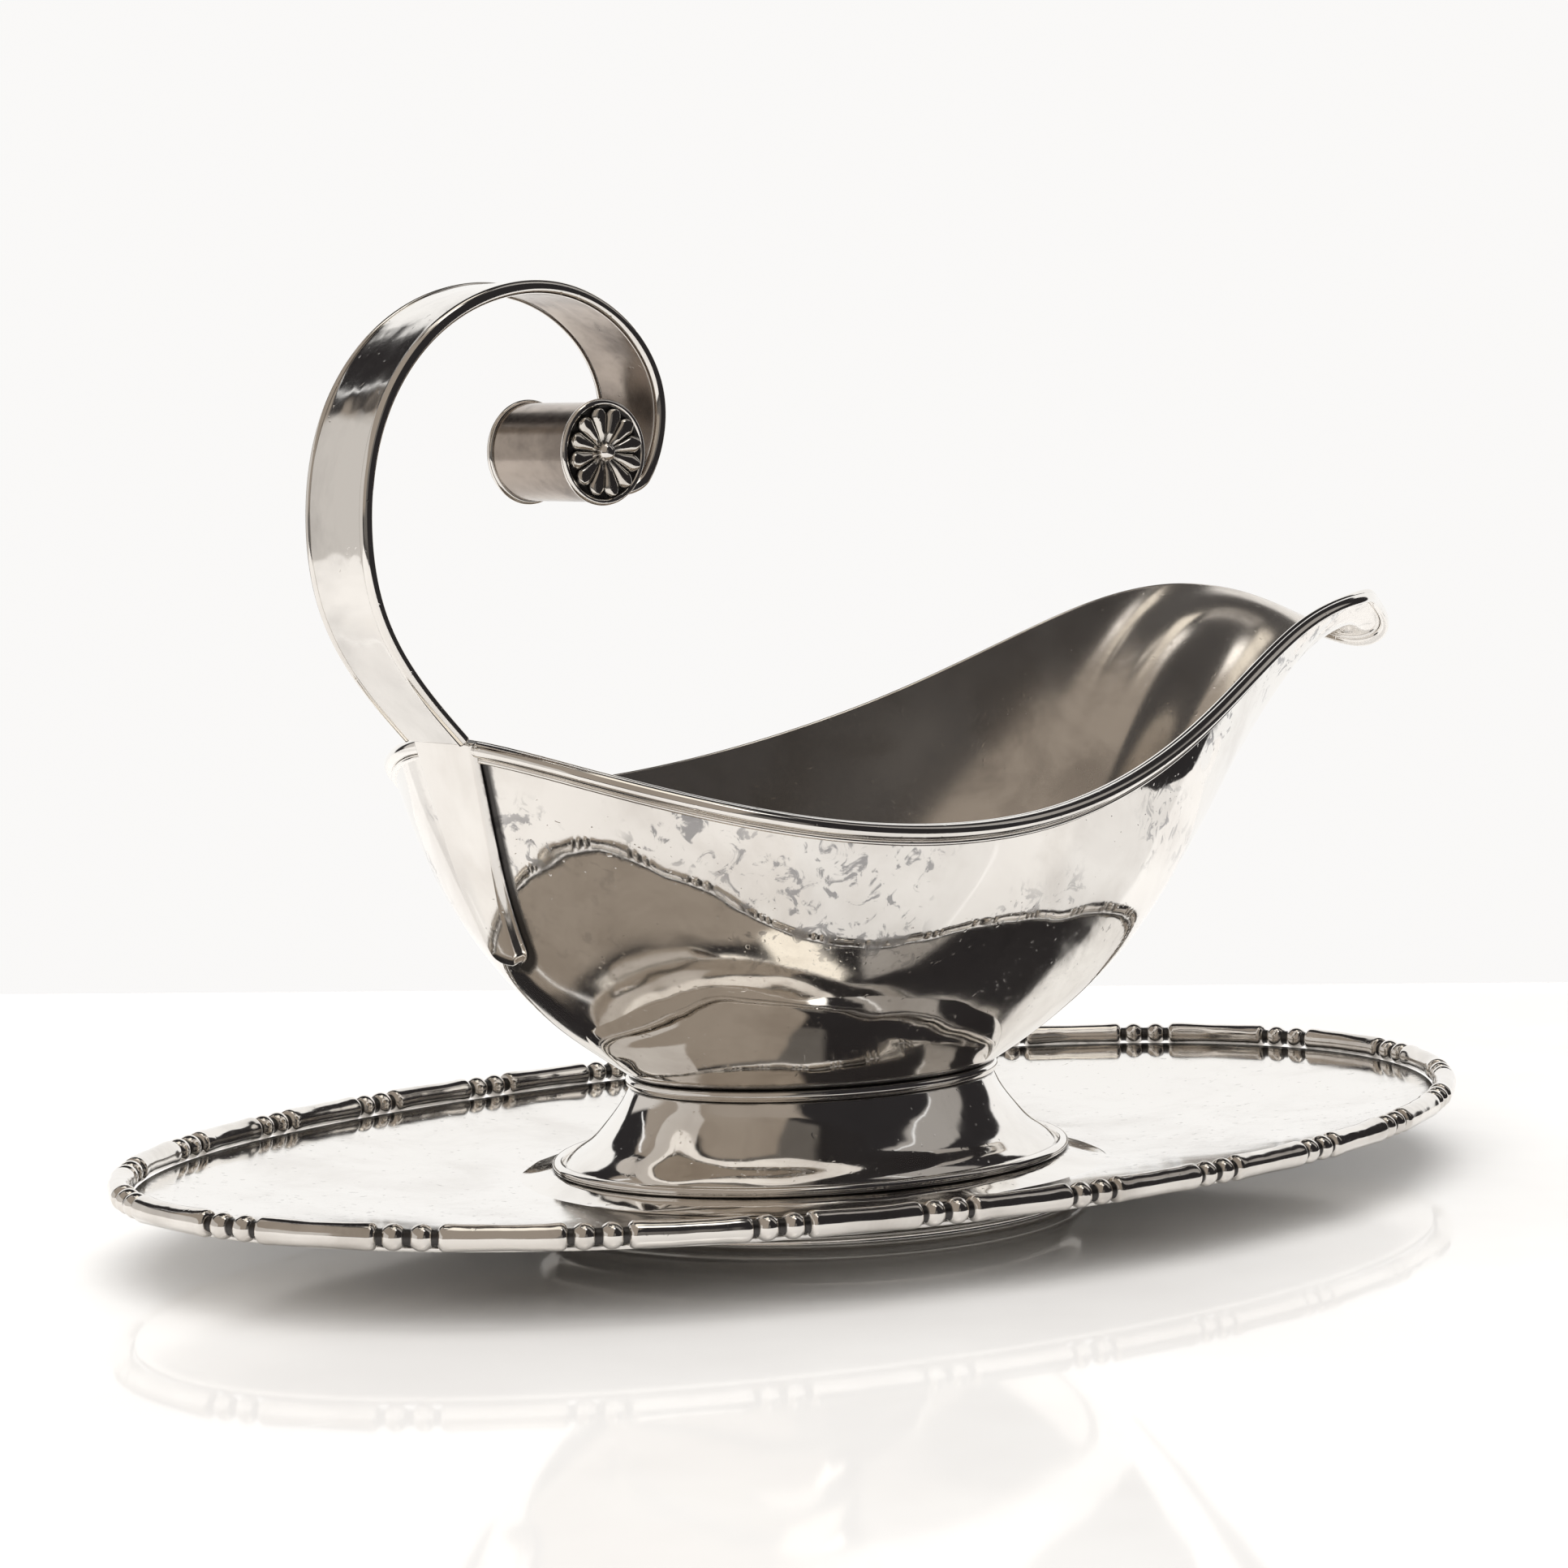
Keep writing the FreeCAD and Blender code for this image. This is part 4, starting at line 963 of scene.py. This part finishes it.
# Studio panels: azimuth and elevation in degrees, half width and half height at unit distance,
# softness of the edge, colour. Later panels cover earlier ones.
PANELS = (
    (235, 9, 0.55, 0.30, 0.08, (0.15, 0.14, 0.13)),
    (212, 40, 0.62, 0.80, 0.05, BROWN),
    (150, 48, 0.62, 0.42, 0.04, BROWN),
    (142, 3, 1.15, 0.46, 0.04, PALE),
    (108, 48, 0.010, 0.42, 0.006, (1.1, 1.1, 1.1)),
    (45, 8, 0.80, 0.64, 0.02, (1.0, 0.99, 0.975)),
    (130, 80, 0.050, 0.10, 0.02, (1.5, 1.42, 1.30)),
    (300, 84, 0.26, 0.15, 0.04, (1.15, 1.08, 0.96)),
    (334, 42, 0.16, 0.45, 0.02, (0.36, 0.34, 0.32)),
    (325, 44, 0.008, 0.36, 0.006, (0.9, 0.9, 0.9)),
    (280, 66, 0.10, 0.12, 0.03, (1.9, 1.86, 1.8)),
)


def build_world():
    """Soft studio: bright backdrop behind, panels above and beside, dimmer in front."""
    world = bpy.data.worlds.new("studio")
    bpy.context.scene.world = world
    world.use_nodes = True
    tree = world.node_tree
    tree.nodes.clear()
    n = Nodes(tree)
    where = n.add("ShaderNodeTexCoord").outputs["Generated"]
    total = (0.026, 0.024, 0.025, 1)

    def along(axis):
        node = n.add("ShaderNodeVectorMath", operation="DOT_PRODUCT",
                     inputs={0: where, 1: axis})
        return node.outputs["Value"]

    def panel(below, azimuth, elevation, wide, high, soft, colour):
        """Flat glowing panel facing the object, as half sizes at unit distance."""
        centre = Vector(direction(azimuth, elevation))
        right = centre.cross(Vector((0, 0, 1))).normalized()
        top = right.cross(centre)
        depth = along(centre)
        safe = n.math("MAXIMUM", depth, 0.02)
        mask = n.ramp(depth, 0.02, 0.06)
        for axis, half in ((right, wide), (top, high)):
            off = n.math("ABSOLUTE", n.math("DIVIDE", along(axis), safe))
            inside = n.math("SUBTRACT", 1.0, n.ramp(off, half - soft, half + soft))
            mask = n.math("MULTIPLY", mask, inside)
        return n.mix(mask, below, colour + (1,))

    for settings in PANELS:
        total = panel(total, *settings)
    seen = n.add("ShaderNodeLightPath").outputs["Is Camera Ray"]
    total = n.mix(seen, total, (0.955, 0.945, 0.935, 1))
    background = n.add("ShaderNodeBackground", inputs={"Color": total, "Strength": 1.0})
    out = n.add("ShaderNodeOutputWorld")
    tree.links.new(background.outputs[0], out.inputs["Surface"])


CAMERA_PLACE = (-0.472944, -0.520823, 0.123639)
CAMERA_YAW, CAMERA_PITCH, CAMERA_ROLL = 41.654, 4.703, -0.444
CAMERA_LENS, CAMERA_SENSOR = 103.49, 36.0


def build_stage():
    """White table, glossy, whose far edge lies behind the object."""
    view = Vector((math.sin(math.radians(CAMERA_YAW)), math.cos(math.radians(CAMERA_YAW)), 0))
    side = Vector((view.y, -view.x, 0))
    near, far, left, right = -0.62, 0.262, -0.60, 0.26
    corners = [view * near + side * left, view * near + side * right, view * far + side * right,
               view * far + side * left]
    mesh = bpy.data.meshes.new("table_top")
    mesh.from_pydata([tuple(c) for c in corners], [], [(0, 1, 2, 3)])
    table = bpy.data.objects.new("table_top", mesh)
    bpy.context.scene.collection.objects.link(table)
    material = bpy.data.materials.new("white_table")
    material.use_nodes = True
    tree = material.node_tree
    tree.nodes.clear()
    n = Nodes(tree)
    where = n.add("ShaderNodeTexCoord").outputs["Object"]
    cloud = n.noise(where, 9.0, 4.0, 0.6)
    colour = n.mix(n.ramp(cloud, 0.35, 0.7), (0.80, 0.79, 0.78, 1), (0.86, 0.855, 0.845, 1))
    stretch = n.add("ShaderNodeMapping", inputs={
        "Vector": where, "Rotation": (0, 0, 0.9), "Scale": (1.0, 26.0, 1.0)}).outputs[0]
    lines = n.ramp(n.noise(stretch, 9.0, 2.0, 0.8), 0.69, 0.72)
    normal = n.bump(lines, -0.004)
    matt = n.add("ShaderNodeBsdfDiffuse", inputs={"Color": colour}).outputs[0]
    gloss = n.add("ShaderNodeBsdfGlossy", inputs={"Roughness": 0.05, "Normal": normal})
    gloss.inputs["Color"].default_value = (0.95, 0.95, 0.95, 1)
    shader = n.add("ShaderNodeMixShader", inputs={1: matt, 2: gloss.outputs[0]})
    shader.inputs[0].default_value = 0.20
    out = n.add("ShaderNodeOutputMaterial")
    tree.links.new(shader.outputs[0], out.inputs["Surface"])
    table.data.materials.append(material)


def build_lights():
    """Two large soft lamps that show in no reflection."""
    softboxes = (("back_softbox", (0.30, 0.45, 1.40), 21.0),
                 ("front_softbox", (-0.80, -0.70, 1.20), 21.0))
    for name, where, power in softboxes:
        lamp = bpy.data.lights.new(name, "AREA")
        lamp.shape = "RECTANGLE"
        lamp.size, lamp.size_y = 2.0, 1.6
        lamp.energy = power
        light = bpy.data.objects.new(name, lamp)
        light.location = where
        aim = Vector((0, 0, 0.05)) - light.location
        light.rotation_euler = aim.to_track_quat("-Z", "Y").to_euler()
        light.visible_glossy = False
        bpy.context.scene.collection.objects.link(light)


def build_camera():
    data = bpy.data.cameras.new("camera")
    data.sensor_width, data.lens = CAMERA_SENSOR, CAMERA_LENS
    data.clip_start, data.clip_end = 0.01, 50.0
    camera = bpy.data.objects.new("camera", data)
    yaw, pitch, roll = (math.radians(a) for a in (CAMERA_YAW, CAMERA_PITCH, CAMERA_ROLL))
    forward = Vector((math.sin(yaw) * math.cos(pitch), math.cos(yaw) * math.cos(pitch),
                      -math.sin(pitch)))
    right = Vector((math.cos(yaw), -math.sin(yaw), 0))
    up = right.cross(forward)
    across = right * math.cos(roll) + up * math.sin(roll)
    above = up * math.cos(roll) - right * math.sin(roll)
    matrix = camera.matrix_world.copy()
    for row in range(3):
        matrix[row] = (across[row], above[row], -forward[row], CAMERA_PLACE[row])
    camera.matrix_world = matrix
    bpy.context.scene.collection.objects.link(camera)
    bpy.context.scene.camera = camera


build_camera()
build_bowl()
build_rim()
build_foot()
build_seat()
build_tray()
build_stand_foot()
build_border()
build_strap()
build_tongue()
build_scroll()
finish_materials()
build_world()
build_stage()
build_lights()
bpy.context.scene.view_settings.view_transform = "Standard"
